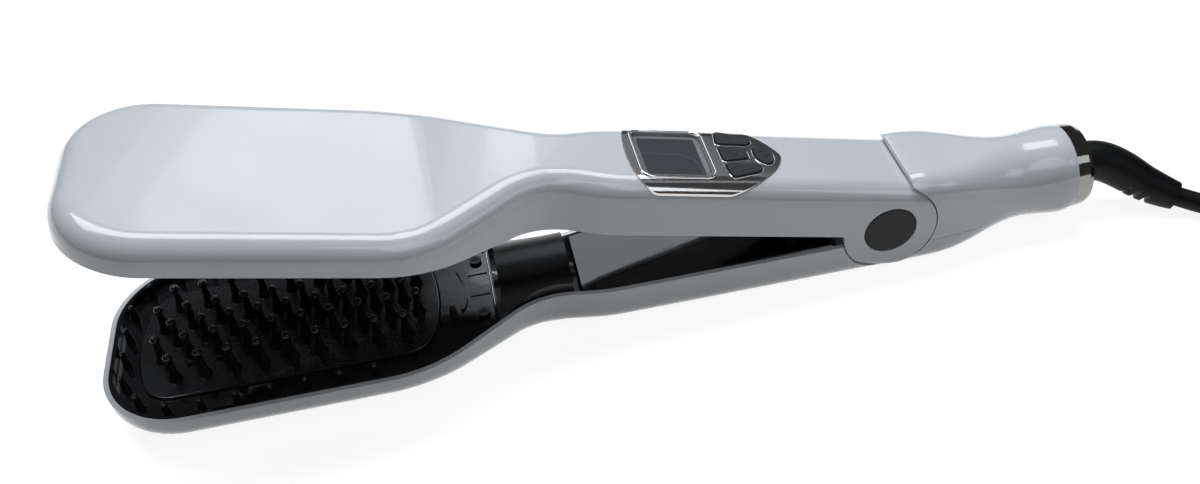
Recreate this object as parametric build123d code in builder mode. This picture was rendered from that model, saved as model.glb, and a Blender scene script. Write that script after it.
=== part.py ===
from build123d import *

import os
from math import cos, pi, radians, sin, sqrt, tan

# Steam hair straightener brush: a lower arm with the bristle head and the tail, and an upper arm
# hinged to it. X runs along the arms with the head at -X, Z is up, and the lower arm lies on Z = 0.
# The upper arm is modelled closed, parallel to the lower one, and is turned open at the end.

# ---------------------------------------------------------------- driving dimensions, mm and degrees
reach = 240.0  # hinge axis to the head's tip
tail_reach = 69.0  # hinge axis to the rear face of the end ring
head_width = 70.0
head_corner = 25.0
grip_width = 32.8
waist_width = 24.8  # between the two waist corner points, before rounding
shoulder_back = 96.0  # tip to the corner point where the head starts to narrow
waist_back = 131.0  # tip to the waist's corner point
grip_back = 150.0  # tip to where the grip is parallel again
shoulder_radius = 43.0
waist_radius = 24.0
grip_radius = 60.0

rim_height = 14.0  # lower arm's rim above the table
rim_gap = 0.6  # between the rims of the closed arms
head_rise = 4.8  # the head's underside above the table
head_top = 10.3  # top of the closed upper head above the lower rim
hinge_over_rim = 3.5
barrel_radius = 14.8
edge_radius = 7.0
crown_radius = 50.0  # upper arm's slope from head to grip
belly_radius = 60.0  # lower arm's slope from head to grip
wall = 1.5
open_angle = 14.3
fit_gap = 0.1  # between seated pieces

ear_thickness = 2.5
ear_gap = 0.4  # round the ears and the barrel
pin_radius = 2.0
pin_clearance = 0.05
bush_radius = 3.2
cap_radius = 8.3
cap_depth = 1.0
knuckle_radius = 8.0

deck_depth = 3.0  # deck below the rim
deck_thickness = 1.2
pad_length = 91.5
pad_width = 46.0
pad_tip_gap = 9.0  # tip to the pad's end
pad_bow = 5.0
pad_corner = 10.0
pad_raise = 0.8
pad_thickness = 2.6
bristle_height = 9.8
bristle_base = 2.1  # radii
bristle_neck = 1.05
bristle_ball = 1.4
bristle_pitch = 8.6
inner_row = 6.5  # rows at 0, +-inner_row and +-outer_row
outer_row = 15.0
row_start = 16.5  # tip to the first bristle
guard_height = 5.8
guard_base = 1.3
guard_tip = 0.8
guard_inset = 5.6
guard_pitch = 10.0
heater_thickness = 1.1
mica_thickness = 0.5
mica_notch = 26.0  # the cut-out for the steam inlet, along the arm

rib_places = (-222, -200, -178, -156)  # heater ribs, behind the hinge axis as all such places
steam_row = 10.75
steam_port_low = 6.6
steam_port_across = 4.8
lug_margin = 2.0  # heated plate's steam inlet lug, each side of the port
heater_across = 10.75
heater_width = 9.0
deck_reach = 117.5  # tip to the deck's rear edge
deck_posts = ((-231, 22), (-190, 28.5), (-152, 28.5))
neck_screw_back = -126.9
neck_screw_across = 12.0
neck_rib_back = 109.2
neck_rib_radius = 24.0
cutout_place = -136.0
cutout_length = 9.0
cutout_seat = 6.4
boss_radius = 2.4
screw_head = 1.9
screw_head_height = 1.0
screw_radius = 1.0
press_gap = 0.02
neck_screw_length = 6.0
cover_screw_length = 5.0

cover_start = -97.0
cover_end = -17.0
cover_top = 13.8
cover_thickness = 1.6
cover_rib_places = (-84.0, -62.0, -34.0)
cover_seat = 6.0  # screw heads sit this far up inside the lower shell
cover_boss_low = 7.0
boiler_back = -86.0
boiler_length = 34.0
boiler_half = 11.0
boiler_low = 2.5
boiler_height = 8.0
foot_inset = 5.0  # boiler's and pump's feet from their ends
foot_half = 4.0
boiler_gap = 8.0  # boiler to pump
pump_length = 22.0
pump_head = 8.0  # its valve block, in front of the motor
pump_height = 9.0
pump_half = 8.0
motor_radius = 5.0
tube_radius = 1.2
tube_across = 5.5
duct_height = 4.6
steam_across = 8.5
steam_height = 4.9

upper_cover_low = 15.2
upper_cover_start = -92.0
upper_screw_places = (-86.5, -26.0)
liner_thickness = 0.8
switch_high = 28.6
switch_height = 3.4
board_thickness = 1.6
board_start = -82.5
board_end = -30.0
board_half = 11.0
board_post_places = (-56.5, -33.0)
board_post_across = 8.5
spring_rest = 13.5
spring_rest_low = 24.5
barrel_dip = 25.0  # degrees that the barrel reaches below the hinge axis

cheek_inner = 9.6
knuckle_foot = 8.0
knuckle_reach = 16.0
spring_radius = 5.0
spring_wire = 0.6
spring_turns = 6

tail_radius = 13.65
tail_axis_height = 16.0
tail_wall = 1.8
ring_length = 6.0
ring_end_radius = 12.9
collar_height = 32.8
collar_start = 7.0  # behind the hinge axis
parting_height = 10.0  # tail cover above, lower shell below
seam_gap = 0.15
tail_stations = (0.14, 0.34, 0.52, 0.64, 0.82)  # shares of the way from the collar to the ring
terminal_back = 22.0
terminal_length = 12.0
terminal_height = 8.0
terminal_half = 7.0
terminal_pitch = 4.0
terminal_hole = 1.3
clamp_back = 50.0
clamp_length = 6.0
clamp_across = 7.0
clamp_post = 2.2  # radius
clamp_thickness = 2.4
clamp_screw_length = 7.0
relief_inside = 8.0  # strain relief inside the end ring
relief_rings = 12

tank_length = 22.0
tank_back = 119.2  # tip to the tank's front face
tank_crown = 6.2  # arch above the rim
tank_bottom = 8.0
tank_wall = 1.2
tank_gap = 0.6
arch_half = 16.0
dock_length = 11.0
dock_half = 6.8
dock_top = 7.2
spigot_radius = 2.2
seal_width = 1.0
stopper_radius = 3.4

bezel_back = 156.0  # tip to the bezel's front edge
bezel_length = 49.0
bezel_half = 15.5
bezel_corner = 5.5
bezel_nose = 4.0
bezel_proud = 0.4
bezel_depth = 0.7  # into the shell
window_length = 21.0
window_width = 21.0
window_corner = 2.5
window_sink = 0.3  # below the bezel
window_margin = 3.6  # bezel's front edge to the window
button_row = 29.4  # bezel's front edge to the buttons
bezel_wrap = 5.0  # the bezel's reach down the rounded edges
button_gap = 0.2
button_rest = 0.3  # under the shell and over the switch
button_travel = 0.8
button_proud = 0.7

cord_diameter = 6.4
relief_radius = 6.5
relief_end_radius = 4.6
coil_radius = 35.0  # middle of the turns
coil_turns = 8
turn_pitch = 6.6
tie_width = 10.0
tie_thickness = 0.6
plug_length = 50.0
pin_length = 19.0
pin_spacing = 19.0

# ---------------------------------------------------------------- derived places
overall = reach + tail_reach
tip_x = -overall / 2
hinge_x = tip_x + reach
tail_x = overall / 2
hinge_z = rim_height + hinge_over_rim
upper_rim = rim_height + rim_gap
grip_top = hinge_z + barrel_radius
head_top_z = rim_height + head_top
head_floor = head_rise + wall
half_grip = grip_width / 2
ear_inner = half_grip - ear_thickness
cheek_outer = ear_inner - 0.3
socket_radius = barrel_radius + ear_gap
deck_top = rim_height - deck_depth
pad_top = deck_top + pad_raise
ring_x = tail_x - ring_length
pump_back = boiler_back + boiler_length + boiler_gap
clamp_middle = clamp_back + clamp_length / 2
clamp_low = tail_axis_height + cord_diameter / 2
screw_hole = screw_radius + press_gap
cover_screw_places = (boiler_back - 7.5, pump_back - boiler_gap / 2)
hinge_axis = Axis((hinge_x, 0, hinge_z), (0, 1, 0))


def from_tip(distance):
    return tip_x + distance


def arm_plan(inset, end_x):
    """The arms' plan from the tip to end_x, drawn inset by a wall."""
    with BuildSketch() as plan:
        with BuildLine():
            FilletPolyline(
                (tip_x, 0),
                (tip_x, head_width / 2),
                (from_tip(shoulder_back), head_width / 2),
                (from_tip(waist_back), waist_width / 2),
                (from_tip(grip_back), half_grip),
                (end_x + inset, half_grip),
                (end_x + inset, 0),
                radius=[head_corner, shoulder_radius, waist_radius, grip_radius, 0],
            )
            mirror(about=Plane.XZ)
        make_face()
        if inset:
            offset(amount=-inset)
    return plan.sketch


def along_edges(part, low, high, end_x):
    """The edges of the upright walls between two heights, without the square end."""
    walls = part.faces().filter_by(lambda face: abs(face.normal_at().Z) < 0.01)
    rims = walls.edges().filter_by(Axis.Z, reverse=True)
    return rims.filter_by(lambda e: low < e.center().Z < high and e.center().X < end_x - 0.5)


def upper_form(inset):
    """The closed upper arm's outer form, or its cavity when inset by a wall."""
    end_x = hinge_x + barrel_radius + 4
    with BuildPart() as form:
        with BuildSketch(Plane.XY.offset(upper_rim)):
            add(arm_plan(inset, end_x))
        extrude(amount=grip_top)
        with BuildSketch(Plane.XZ):
            with BuildLine():
                FilletPolyline(
                    (tip_x - 1, upper_rim),
                    (tip_x - 1, head_top_z - inset),
                    (from_tip(shoulder_back - 3), head_top_z - inset),
                    (from_tip(waist_back - 8), grip_top - inset),
                    (end_x + 1, grip_top - inset),
                    (end_x + 1, upper_rim),
                    radius=[0, crown_radius, crown_radius, 0],
                )
                Line((end_x + 1, upper_rim), (tip_x - 1, upper_rim))
            make_face()
        extrude(amount=head_width, both=True, mode=Mode.INTERSECT)
        fillet(along_edges(form, upper_rim + 2, grip_top + 1, end_x), radius=edge_radius - inset)
    return form.part


def lower_form(inset, end_x):
    """The lower arm's outer form, or its cavity when inset by a wall."""
    with BuildPart() as form:
        with BuildSketch():
            add(arm_plan(inset, end_x))
        extrude(amount=rim_height)
        with BuildSketch(Plane.XZ):
            with BuildLine():
                FilletPolyline(
                    (tip_x - 1, rim_height),
                    (tip_x - 1, head_rise + inset),
                    (from_tip(shoulder_back - 3), head_rise + inset),
                    (from_tip(waist_back + 6), inset),
                    (end_x + 1, inset),
                    (end_x + 1, rim_height),
                    radius=[0, belly_radius, belly_radius, 0],
                )
                Line((end_x + 1, rim_height), (tip_x - 1, rim_height))
            make_face()
        extrude(amount=head_width, both=True, mode=Mode.INTERSECT)
        fillet(along_edges(form, -1, rim_height - 2, end_x), radius=edge_radius - inset)
    return form.part


def grip_bar(grow, start_x, end_x):
    """A bar with the upper grip's round-topped section, grown or shrunk."""
    with BuildPart() as bar:
        with BuildSketch(Plane.YZ.offset(start_x)) as section:
            with Locations((0, grip_top / 2 + grow)):
                Rectangle(grip_width + 2 * grow, grip_top)
            fillet(section.vertices().group_by(Axis.Z)[-1], radius=edge_radius + grow)
        extrude(amount=end_x - start_x)
    return bar.part


def tail_form(inset):
    """The tail from the boxy collar to the round end, or its cavity."""
    round_low = tail_axis_height - tail_radius
    round_high = tail_axis_height + tail_radius
    round_section = (2 * tail_radius, round_low, round_high, tail_radius - 0.05)
    sections = [
        (grip_width, 0, collar_height, edge_radius),
        (grip_width, 0.1, collar_height - 0.3, edge_radius),
        (grip_width - 1.4, 0.6, collar_height - 2.0, edge_radius + 1.5),
        (2 * tail_radius + 1.4, 1.6, round_high + 0.3, tail_radius - 1.5),
        round_section,
        round_section,
        round_section,
    ]
    tail_run = tail_reach - ring_length - collar_start
    with BuildPart() as form:
        for share, (width, low, high, corner) in zip((0, *tail_stations, 1), sections):
            with BuildSketch(Plane.YZ.offset(hinge_x + collar_start + share * tail_run)):
                with Locations((0, (low + high) / 2)):
                    RectangleRounded(width - 2 * inset, high - low - 2 * inset, corner - inset)
        loft()
    return form.part


def disc_pair(radius, inner, outer):
    """Two discs on the hinge axis, from inner to outer on each side."""
    with BuildPart() as discs:
        for side in (1, -1):
            with BuildSketch(Plane.XZ.offset(-side * inner)):
                with Locations((hinge_x, hinge_z)):
                    Circle(radius)
            extrude(amount=-side * (outer - inner))
    return discs.part


def pad_plan(grow):
    """The heated plate's plan: straight sides and bowed ends with round corners."""
    front = from_tip(pad_tip_gap)
    rear = front + pad_length
    side = pad_width / 2
    with BuildSketch() as plan:
        with BuildLine():
            ThreePointArc((front + pad_bow, side), (front, 0), (front + pad_bow, -side))
            ThreePointArc((rear - pad_bow, side), (rear, 0), (rear - pad_bow, -side))
            Line((front + pad_bow, side), (rear - pad_bow, side))
            Line((front + pad_bow, -side), (rear - pad_bow, -side))
        make_face()
        fillet(plan.vertices(), radius=pad_corner)
        if grow:
            offset(amount=grow)
    return plan.sketch


def bezel_plan(grow):
    """The display surround's plan: a bowed front edge and a blunt nose towards the hinge."""
    front = from_tip(bezel_back)
    with BuildSketch() as plan:
        with BuildLine():
            ThreePointArc((front + 1.2, bezel_half - 4), (front, 0), (front + 1.2, 4 - bezel_half))
            for side in (1, -1):
                corner = Line((front + 1.2, side * (bezel_half - 4)), (front + 5, side * bezel_half))
                flank = Line(corner @ 1, (front + 0.6 * bezel_length, side * bezel_half))
                ThreePointArc(
                    flank @ 1,
                    (front + 0.85 * bezel_length, side * 0.66 * bezel_half),
                    (front + bezel_length, 0),
                )
        make_face()
        blunt = plan.vertices().sort_by(Axis.X)
        fillet(blunt[:4], radius=bezel_corner)
        fillet(plan.vertices().sort_by(Axis.X)[-1:], radius=bezel_nose)
        if grow:
            offset(amount=grow)
    return plan.sketch


def window_plan(grow):
    with BuildSketch() as plan:
        with Locations((from_tip(bezel_back) + window_margin + window_length / 2, 0)):
            RectangleRounded(window_length + 2 * grow, window_width + 2 * grow, window_corner + grow)
    return plan.sketch


def button_plan(name, grow):
    """One button's plan, drawn from the bezel's front edge."""
    front = from_tip(bezel_back)
    row = button_row
    with BuildSketch() as plan:
        if name == "button_power":
            with Locations((front + row + 13.6, 0)):
                Ellipse(2.9 + grow, 4.5 + grow)
        else:
            if name == "button_mode":
                corners = [(row, 3.7), (row + 8.4, 2.0), (row + 8.4, -2.0), (row, -3.7)]
            else:
                side = 1 if name == "button_plus" else -1
                corners = [(row - 0.2, 5.0), (row + 0.9, 11.3), (row + 9.8, 8.7), (row + 11.4, 6.6),
                           (row + 9.4, 4.8)]
                corners = [(x, side * y) for x, y in corners]
            with BuildLine():
                Polyline(*[(front + x, y) for x, y in corners], close=True)
            make_face()
            fillet(plan.vertices(), radius=0.8)
            if grow:
                offset(amount=grow)
    return plan.sketch


def slab(start, end, half, low, high):
    """A plain block across the arm, from the plan places start to end behind the hinge axis."""
    with BuildPart() as form:
        with BuildSketch(Plane.XY.offset(low)):
            with Locations((hinge_x + (start + end) / 2, 0)):
                Rectangle(end - start, 2 * half)
        extrude(amount=high - low)
    return form.part


def post(back, across, radius, low, high):
    """An upright cylinder at a plan place behind the hinge axis."""
    with BuildPart() as form:
        with BuildSketch(Plane.XY.offset(low)):
            with Locations((hinge_x + back, across)):
                Circle(radius)
        extrude(amount=high - low)
    return form.part


def within(piece, form):
    """The piece cut back to a form."""
    with BuildPart() as trimmed:
        add(piece)
        add(form, mode=Mode.INTERSECT)
    return trimmed.part


def screw(back, across, seat, way, length):
    """A cross-head screw: its head stands on the seat and its shank points up (1) or down (-1)."""
    x = hinge_x + back
    with BuildPart() as form:
        with BuildSketch(Plane.XY.offset(seat)):
            with Locations((x, across)):
                Circle(screw_head)
        extrude(amount=-way * screw_head_height)
        with BuildSketch(Plane.XY.offset(seat)):
            with Locations((x, across)):
                Circle(screw_radius)
        extrude(amount=way * length)
        with BuildSketch(Plane.XY.offset(seat - way * screw_head_height)):
            with Locations((x, across)):
                Rectangle(1.2 * screw_head, 0.5)
                Rectangle(0.5, 1.2 * screw_head)
        extrude(amount=way * screw_head_height / 2, mode=Mode.SUBTRACT)
    return form.part


def tank_form(inset):
    """The water tank's outer form, or its cavity."""
    low = tank_bottom + inset
    with BuildPart() as form:
        with BuildSketch(Plane.XY.offset(low)):
            add(arm_plan(wall + tank_gap + inset, hinge_x))
            with Locations((from_tip(tank_back + tank_length / 2), 0)):
                Rectangle(tank_length - 2 * inset, head_width, mode=Mode.INTERSECT)
        extrude(amount=rim_height)
        with BuildSketch(Plane.YZ.offset(from_tip(tank_back))):
            with BuildLine():
                shoulder = rim_height - inset
                side = arch_half - inset
                reach_out = head_width / 2
                arch = ThreePointArc((-side, shoulder), (0, shoulder + tank_crown), (side, shoulder))
                Polyline(
                    arch @ 0, (-reach_out, shoulder), (-reach_out, low), (reach_out, low),
                    (reach_out, shoulder), arch @ 1,
                )
            make_face()
        extrude(amount=tank_length, mode=Mode.INTERSECT)
    return form.part


def tube(points, radius, bend):
    """A tube along straight runs joined by tangent arcs."""
    with BuildPart() as form:
        with BuildLine() as path:
            FilletPolyline(*points, radius=bend)
        with BuildSketch(Plane(origin=path.wire() @ 0, z_dir=path.wire() % 0)):
            Circle(radius)
        sweep(path=path.wire())
    return form.part


# ---------------------------------------------------------------- lower shell
rib_top = pad_top - pad_thickness - heater_thickness - mica_thickness
deck_low = deck_top - deck_thickness
pad_start = pad_tip_gap - reach
pad_end = pad_start + pad_length
socket = disc_pair(socket_radius, cheek_outer + 0.1, head_width)
tail_outer = tail_form(0)
tail_inner = tail_form(tail_wall)
lower_core = lower_form(wall / 2, hinge_x + collar_start)  # inside pieces end in the middle of the wall

with BuildPart() as knuckles:
    for side in (1, -1):
        with BuildSketch(Plane.XZ.offset(-side * cheek_inner)):
            with Locations((hinge_x, hinge_z)):
                Circle(knuckle_radius)
            with Locations((hinge_x, (hinge_z + knuckle_foot) / 2)):
                Rectangle(2 * knuckle_radius, hinge_z - knuckle_foot)
        extrude(amount=-side * (cheek_outer - cheek_inner))
    add(within(slab(-knuckle_reach, collar_start, cheek_outer, 0, rim_height - 1), lower_core))
    add(slab(-knuckle_reach - 1, collar_start + 1, cheek_inner, 0, hinge_z), mode=Mode.SUBTRACT)

with BuildPart() as lower_inside:
    for back in rib_places:
        add(slab(back, back + 1.2, pad_width / 2 - 3, 0, rib_top))
    add(slab(cutout_place, cutout_place + cutout_length, 2.5, 0, cutout_seat))
    for side in (1, -1):
        add(post(neck_screw_back, side * neck_screw_across, boss_radius, 0, deck_low))
    for back, across in deck_posts:
        for side in (1, -1):
            add(post(back, side * across, boss_radius, 0, deck_low))
    for back in cover_screw_places:
        add(post(back, 0, boss_radius + 0.6, 0, cover_boss_low))
    for back in cover_rib_places:
        for side in (1, -1):
            with BuildSketch(Plane.XY):
                with Locations((hinge_x + back, side * (half_grip - wall))):
                    Rectangle(1.2, 1.6)
            extrude(amount=cover_top - cover_thickness)
    boiler_feet = (boiler_back + foot_inset, boiler_back + boiler_length - foot_inset)
    pump_feet = (pump_back + pump_head + foot_inset / 2, pump_back + pump_length - foot_inset)
    for back in boiler_feet + pump_feet:
        add(slab(back - 1, back + 1, foot_half, 0, boiler_low))
    add(lower_core, mode=Mode.INTERSECT)

with BuildPart() as tail_inside:
    for back in (terminal_back, terminal_back + terminal_length - 1.6):
        add(slab(back, back + 1.6, 6, 0, tail_axis_height - terminal_height / 2))
    for side in (1, -1):
        add(post(clamp_middle, side * clamp_across, clamp_post, 0, tail_axis_height + cord_diameter / 2))
    add(slab(clamp_back, clamp_back + clamp_length, clamp_across, 0, tail_axis_height - cord_diameter / 2))
    add(tail_form(0.4), mode=Mode.INTERSECT)

with BuildPart() as lower_shell:
    add(lower_form(0, hinge_x + collar_start))
    add(within(tail_outer, slab(collar_start, tail_reach, grip_width, 0, parting_height)))
    add(lower_form(wall, hinge_x + collar_start), mode=Mode.SUBTRACT)
    add(tail_inner, mode=Mode.SUBTRACT)
    add(socket, mode=Mode.SUBTRACT)
    add(lower_inside.part)
    add(tail_inside.part)
    add(knuckles.part)
    for back in cover_screw_places:
        add(post(back, 0, screw_head + 0.2, -1, cover_seat), mode=Mode.SUBTRACT)
        add(post(back, 0, screw_radius + press_gap, 0, cover_boss_low), mode=Mode.SUBTRACT)
    for side in (1, -1):
        hole_low = deck_low - neck_screw_length
        hole = post(neck_screw_back, side * neck_screw_across, screw_hole, hole_low, deck_low)
        add(hole, mode=Mode.SUBTRACT)
        hole = post(clamp_middle, side * clamp_across, screw_hole, clamp_low - clamp_screw_length, clamp_low)
        add(hole, mode=Mode.SUBTRACT)
    add(disc_pair(pin_radius + pin_clearance, cheek_inner - 1, cheek_outer + 1), mode=Mode.SUBTRACT)
lower_shell.part.label = "lower_shell"

# ---------------------------------------------------------------- head: deck, pad, bristles and heater
with BuildPart() as paddle_deck:
    under_deck = slab(-reach, deck_reach - reach, head_width, deck_low, rim_height)
    add(within(lower_form(wall + fit_gap, hinge_x), under_deck))
    inside = slab(-reach, deck_reach - deck_thickness - reach, head_width, deck_top, rim_height)
    add(within(lower_form(wall + fit_gap + deck_thickness, hinge_x), inside), mode=Mode.SUBTRACT)
    add(slab(-reach, 0, head_width, rim_height - fit_gap, rim_height + 1), mode=Mode.SUBTRACT)
    with BuildSketch(Plane.XY.offset(deck_low)):
        add(pad_plan(0.2))
    extrude(amount=deck_thickness, mode=Mode.SUBTRACT)
    with BuildSketch(Plane.XY.offset(deck_low)):
        with Locations(*[(hinge_x + neck_screw_back, side * neck_screw_across) for side in (1, -1)]):
            Circle(screw_radius + fit_gap)
    extrude(amount=deck_thickness, mode=Mode.SUBTRACT)
    with BuildSketch(Plane.XY.offset(deck_top)):
        with Locations((from_tip(neck_rib_back) - neck_rib_radius, 0)):
            Circle(neck_rib_radius)
            Circle(neck_rib_radius - 1, mode=Mode.SUBTRACT)
        with Locations((from_tip(neck_rib_back) - 4, 0)):
            Rectangle(12, 2 * neck_screw_across - 6, mode=Mode.INTERSECT)
    extrude(amount=0.8)
paddle_deck.part.label = "paddle_deck"

steam_holes = [
    (hinge_x + pad_start + pad_length / 2 + step * bristle_pitch, side * steam_row)
    for step in range(-4, 4)
    for side in (1, -1)
]
with BuildPart() as heat_pad:
    with BuildSketch(Plane.XY.offset(pad_top - pad_thickness)):
        add(pad_plan(0))
    extrude(amount=pad_thickness)
    fillet(heat_pad.faces().sort_by(Axis.Z)[-1].edges(), radius=0.6)
    lug_half = steam_port_across + lug_margin
    add(slab(pad_end - 8, pad_end - 4, lug_half, steam_port_low, pad_top - pad_thickness))
    with BuildSketch(Plane.XY.offset(pad_top)):
        with Locations(*[(x + bristle_pitch / 2, y) for x, y in steam_holes]):
            Circle(0.8)
    extrude(amount=-pad_thickness, mode=Mode.SUBTRACT)
heat_pad.part.label = "heat_pad"

with BuildPart() as one_bristle:
    with BuildSketch(Plane.XZ):
        with BuildLine():
            foot = Line((0, 0), (bristle_base, 0))
            ball_centre = bristle_height - bristle_ball
            neck = Polyline(foot @ 1, (bristle_base, 0.5), (bristle_neck, bristle_height * 0.45))
            stem = Line(neck @ 1, (bristle_neck, ball_centre - sqrt(bristle_ball**2 - bristle_neck**2)))
            ThreePointArc(stem @ 1, (bristle_ball, ball_centre), (0, bristle_height))
            Line((0, bristle_height), (0, 0))
        make_face()
    revolve(axis=Axis.Z)

row_count = int((pad_length - 2 * (row_start - pad_tip_gap)) / bristle_pitch + 1.5)
bristle_spots = []
for row, shift in ((0, 0.5), (outer_row, 0.5), (-outer_row, 0.5), (inner_row, 0), (-inner_row, 0)):
    for step in range(row_count - (1 if shift else 0)):
        bristle_spots.append((from_tip(row_start + bristle_pitch * (step + shift)), row))
with BuildPart() as bristles:
    with Locations(*[(x, y, pad_top) for x, y in bristle_spots]):
        add(one_bristle.part)
bristles.part.label = "bristles"

with BuildPart() as one_guard:
    with BuildSketch(Plane.XZ):
        with BuildLine():
            Polyline((0, guard_height), (0, 0), (guard_base, 0), (guard_tip, guard_height - guard_tip))
            ThreePointArc(
                (guard_tip, guard_height - guard_tip),
                (guard_tip * sin(pi / 4), guard_height - guard_tip + guard_tip * cos(pi / 4)),
                (0, guard_height),
            )
        make_face()
    revolve(axis=Axis.Z)

with BuildLine(mode=Mode.PRIVATE) as guard_path:
    FilletPolyline(
        (tip_x + guard_inset, 0),
        (tip_x + guard_inset, head_width / 2 - guard_inset),
        (from_tip(shoulder_back - 4), head_width / 2 - guard_inset),
        radius=head_corner - guard_inset,
    )
guard_wire = guard_path.wire()
guard_spots = []
for step in range(int(guard_wire.length / guard_pitch)):
    spot = guard_wire.position_at((step + 0.5) * guard_pitch / guard_wire.length)
    guard_spots += [(spot.X, spot.Y), (spot.X, -spot.Y)]
with BuildPart() as guard_pins:
    with Locations(*[(x, y, deck_top) for x, y in guard_spots]):
        add(one_guard.part)
guard_pins.part.label = "guard_pins"

with BuildPart() as heater_insulation:
    with BuildSketch(Plane.XY.offset(rib_top)):
        add(pad_plan(-3))
        with Locations((hinge_x + pad_end, 0)):
            Rectangle(mica_notch, 2 * (steam_port_across + lug_margin + 0.3), mode=Mode.SUBTRACT)
    extrude(amount=mica_thickness)
heater_insulation.part.label = "heater_insulation"

with BuildPart() as brush_heater:
    for side in (1, -1):
        with BuildSketch(Plane.XY.offset(rib_top + mica_thickness)):
            with Locations((hinge_x + pad_start + pad_length / 2, side * heater_across)):
                Rectangle(pad_length - 22, heater_width)
        extrude(amount=heater_thickness)
brush_heater.part.label = "brush_heater"

with BuildPart() as thermal_cutout:
    cutout_high = deck_low - fit_gap
    add(slab(cutout_place, cutout_place + cutout_length, 2.4, cutout_seat, cutout_high))
    fillet(thermal_cutout.edges().filter_by(Axis.X), radius=1.0)
thermal_cutout.part.label = "thermal_cutout"

# ---------------------------------------------------------------- lower grip: cover, steam parts and screws
with BuildPart() as grip_cover:
    with BuildSketch(Plane.XY.offset(cover_top - cover_thickness)):
        add(arm_plan(wall + fit_gap, hinge_x))
        with Locations((hinge_x + (cover_start + cover_end) / 2, 0)):
            Rectangle(cover_end - cover_start, head_width, mode=Mode.INTERSECT)
    extrude(amount=cover_thickness)
    chamfer(grip_cover.faces().sort_by(Axis.Z)[-1].edges(), length=0.8)
    for back in cover_screw_places:
        add(post(back, 0, boss_radius - 0.4, cover_boss_low, cover_top - cover_thickness))
        hole = post(back, 0, screw_radius + press_gap, cover_boss_low, cover_top - cover_thickness)
        add(hole, mode=Mode.SUBTRACT)
grip_cover.part.label = "grip_cover"

with BuildPart() as deck_screws:
    for side in (1, -1):
        add(screw(neck_screw_back, side * neck_screw_across, deck_top, -1, neck_screw_length))
    for back in cover_screw_places:
        add(screw(back, 0, cover_seat, 1, cover_screw_length))
deck_screws.part.label = "deck_screws"

dock_start = tank_back - reach + 1.5
spigot_back = dock_start + dock_length / 2
with BuildPart() as tank_dock:
    add(slab(dock_start, dock_start + dock_length, dock_half, 0, dock_top))
    add(lower_form(wall, hinge_x), mode=Mode.INTERSECT)
    add(post(spigot_back, 0, spigot_radius + seal_width + 0.4, dock_top - 2.4, dock_top), mode=Mode.SUBTRACT)
tank_dock.part.label = "tank_dock"

with BuildPart() as boiler:
    add(slab(boiler_back, boiler_back + boiler_length, boiler_half, boiler_low, boiler_low + boiler_height))
    fillet(boiler.edges().filter_by(Axis.X), radius=2.0)
    fillet(boiler.edges().filter_by(Axis.Z), radius=1.0)
boiler.part.label = "boiler"

with BuildPart() as pump:
    add(slab(pump_back, pump_back + pump_head, pump_half, boiler_low, boiler_low + pump_height))
    with BuildSketch(Plane.YZ.offset(hinge_x + pump_back + pump_head)):
        with Locations((0, boiler_low + pump_height / 2)):
            Circle(motor_radius)
            Rectangle(2 * motor_radius, pump_height, mode=Mode.INTERSECT)
    extrude(amount=pump_length - pump_head)
pump.part.label = "pump"

water_x = hinge_x + dock_start + dock_length
lane = half_grip - wall - tube_radius - 1.0
pump_port = boiler_low + 4.3
with BuildPart() as water_tubes:
    add(tube(
        [
            (water_x, -tube_across, duct_height),
            (hinge_x + boiler_back - 9, -tube_across, duct_height),
            (hinge_x + boiler_back - 3, -lane, pump_port),
            (hinge_x + pump_back - 6.5, -lane, pump_port),
            (hinge_x + pump_back - 3, -tube_across, pump_port),
            (hinge_x + pump_back, -tube_across, pump_port),
        ],
        tube_radius, 1.8,
    ))
    with BuildSketch(Plane.YZ.offset(hinge_x + boiler_back + boiler_length)):
        with Locations((tube_across, pump_port)):
            Circle(tube_radius)
    extrude(amount=pump_back - boiler_back - boiler_length)
water_tubes.part.label = "water_tubes"

with BuildPart() as steam_tube:
    add(tube(
        [
            (hinge_x + boiler_back, steam_across, steam_height),
            (from_tip(tank_back - 1), steam_across, steam_height),
            (from_tip(tank_back - 8), steam_port_across, steam_port_low + 1.3),
            (hinge_x + pad_end - 4, steam_port_across, steam_port_low + 1.3),
        ],
        tube_radius, 4,
    ))
steam_tube.part.label = "steam_tube"

# ---------------------------------------------------------------- water tank, which lifts out
spigot_low = dock_top - 2.1
stopper_back = dock_start + dock_length + 4.5
with BuildPart() as water_tank:
    add(tank_form(0))
    add(tank_form(tank_wall), mode=Mode.SUBTRACT)
    add(post(spigot_back, 0, spigot_radius, spigot_low, tank_bottom + tank_wall))
    add(post(spigot_back, 0, 1.2, spigot_low, tank_bottom + tank_wall), mode=Mode.SUBTRACT)
    hole = post(stopper_back, 0, stopper_radius + press_gap, tank_bottom - 1, tank_bottom + tank_wall)
    add(hole, mode=Mode.SUBTRACT)
water_tank.part.label = "water_tank"

with BuildPart() as tank_stopper:
    add(post(stopper_back, 0, stopper_radius, tank_bottom, tank_bottom + tank_wall + 0.8))
    add(post(stopper_back, 0, stopper_radius + 0.9, tank_bottom - 0.8, tank_bottom))
tank_stopper.part.label = "tank_stopper"

with BuildPart() as tank_seal:
    add(post(spigot_back, 0, spigot_radius + seal_width, spigot_low + 0.4, spigot_low + 1.6))
    add(post(spigot_back, 0, spigot_radius + press_gap, spigot_low, dock_top), mode=Mode.SUBTRACT)
tank_seal.part.label = "tank_seal"

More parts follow.
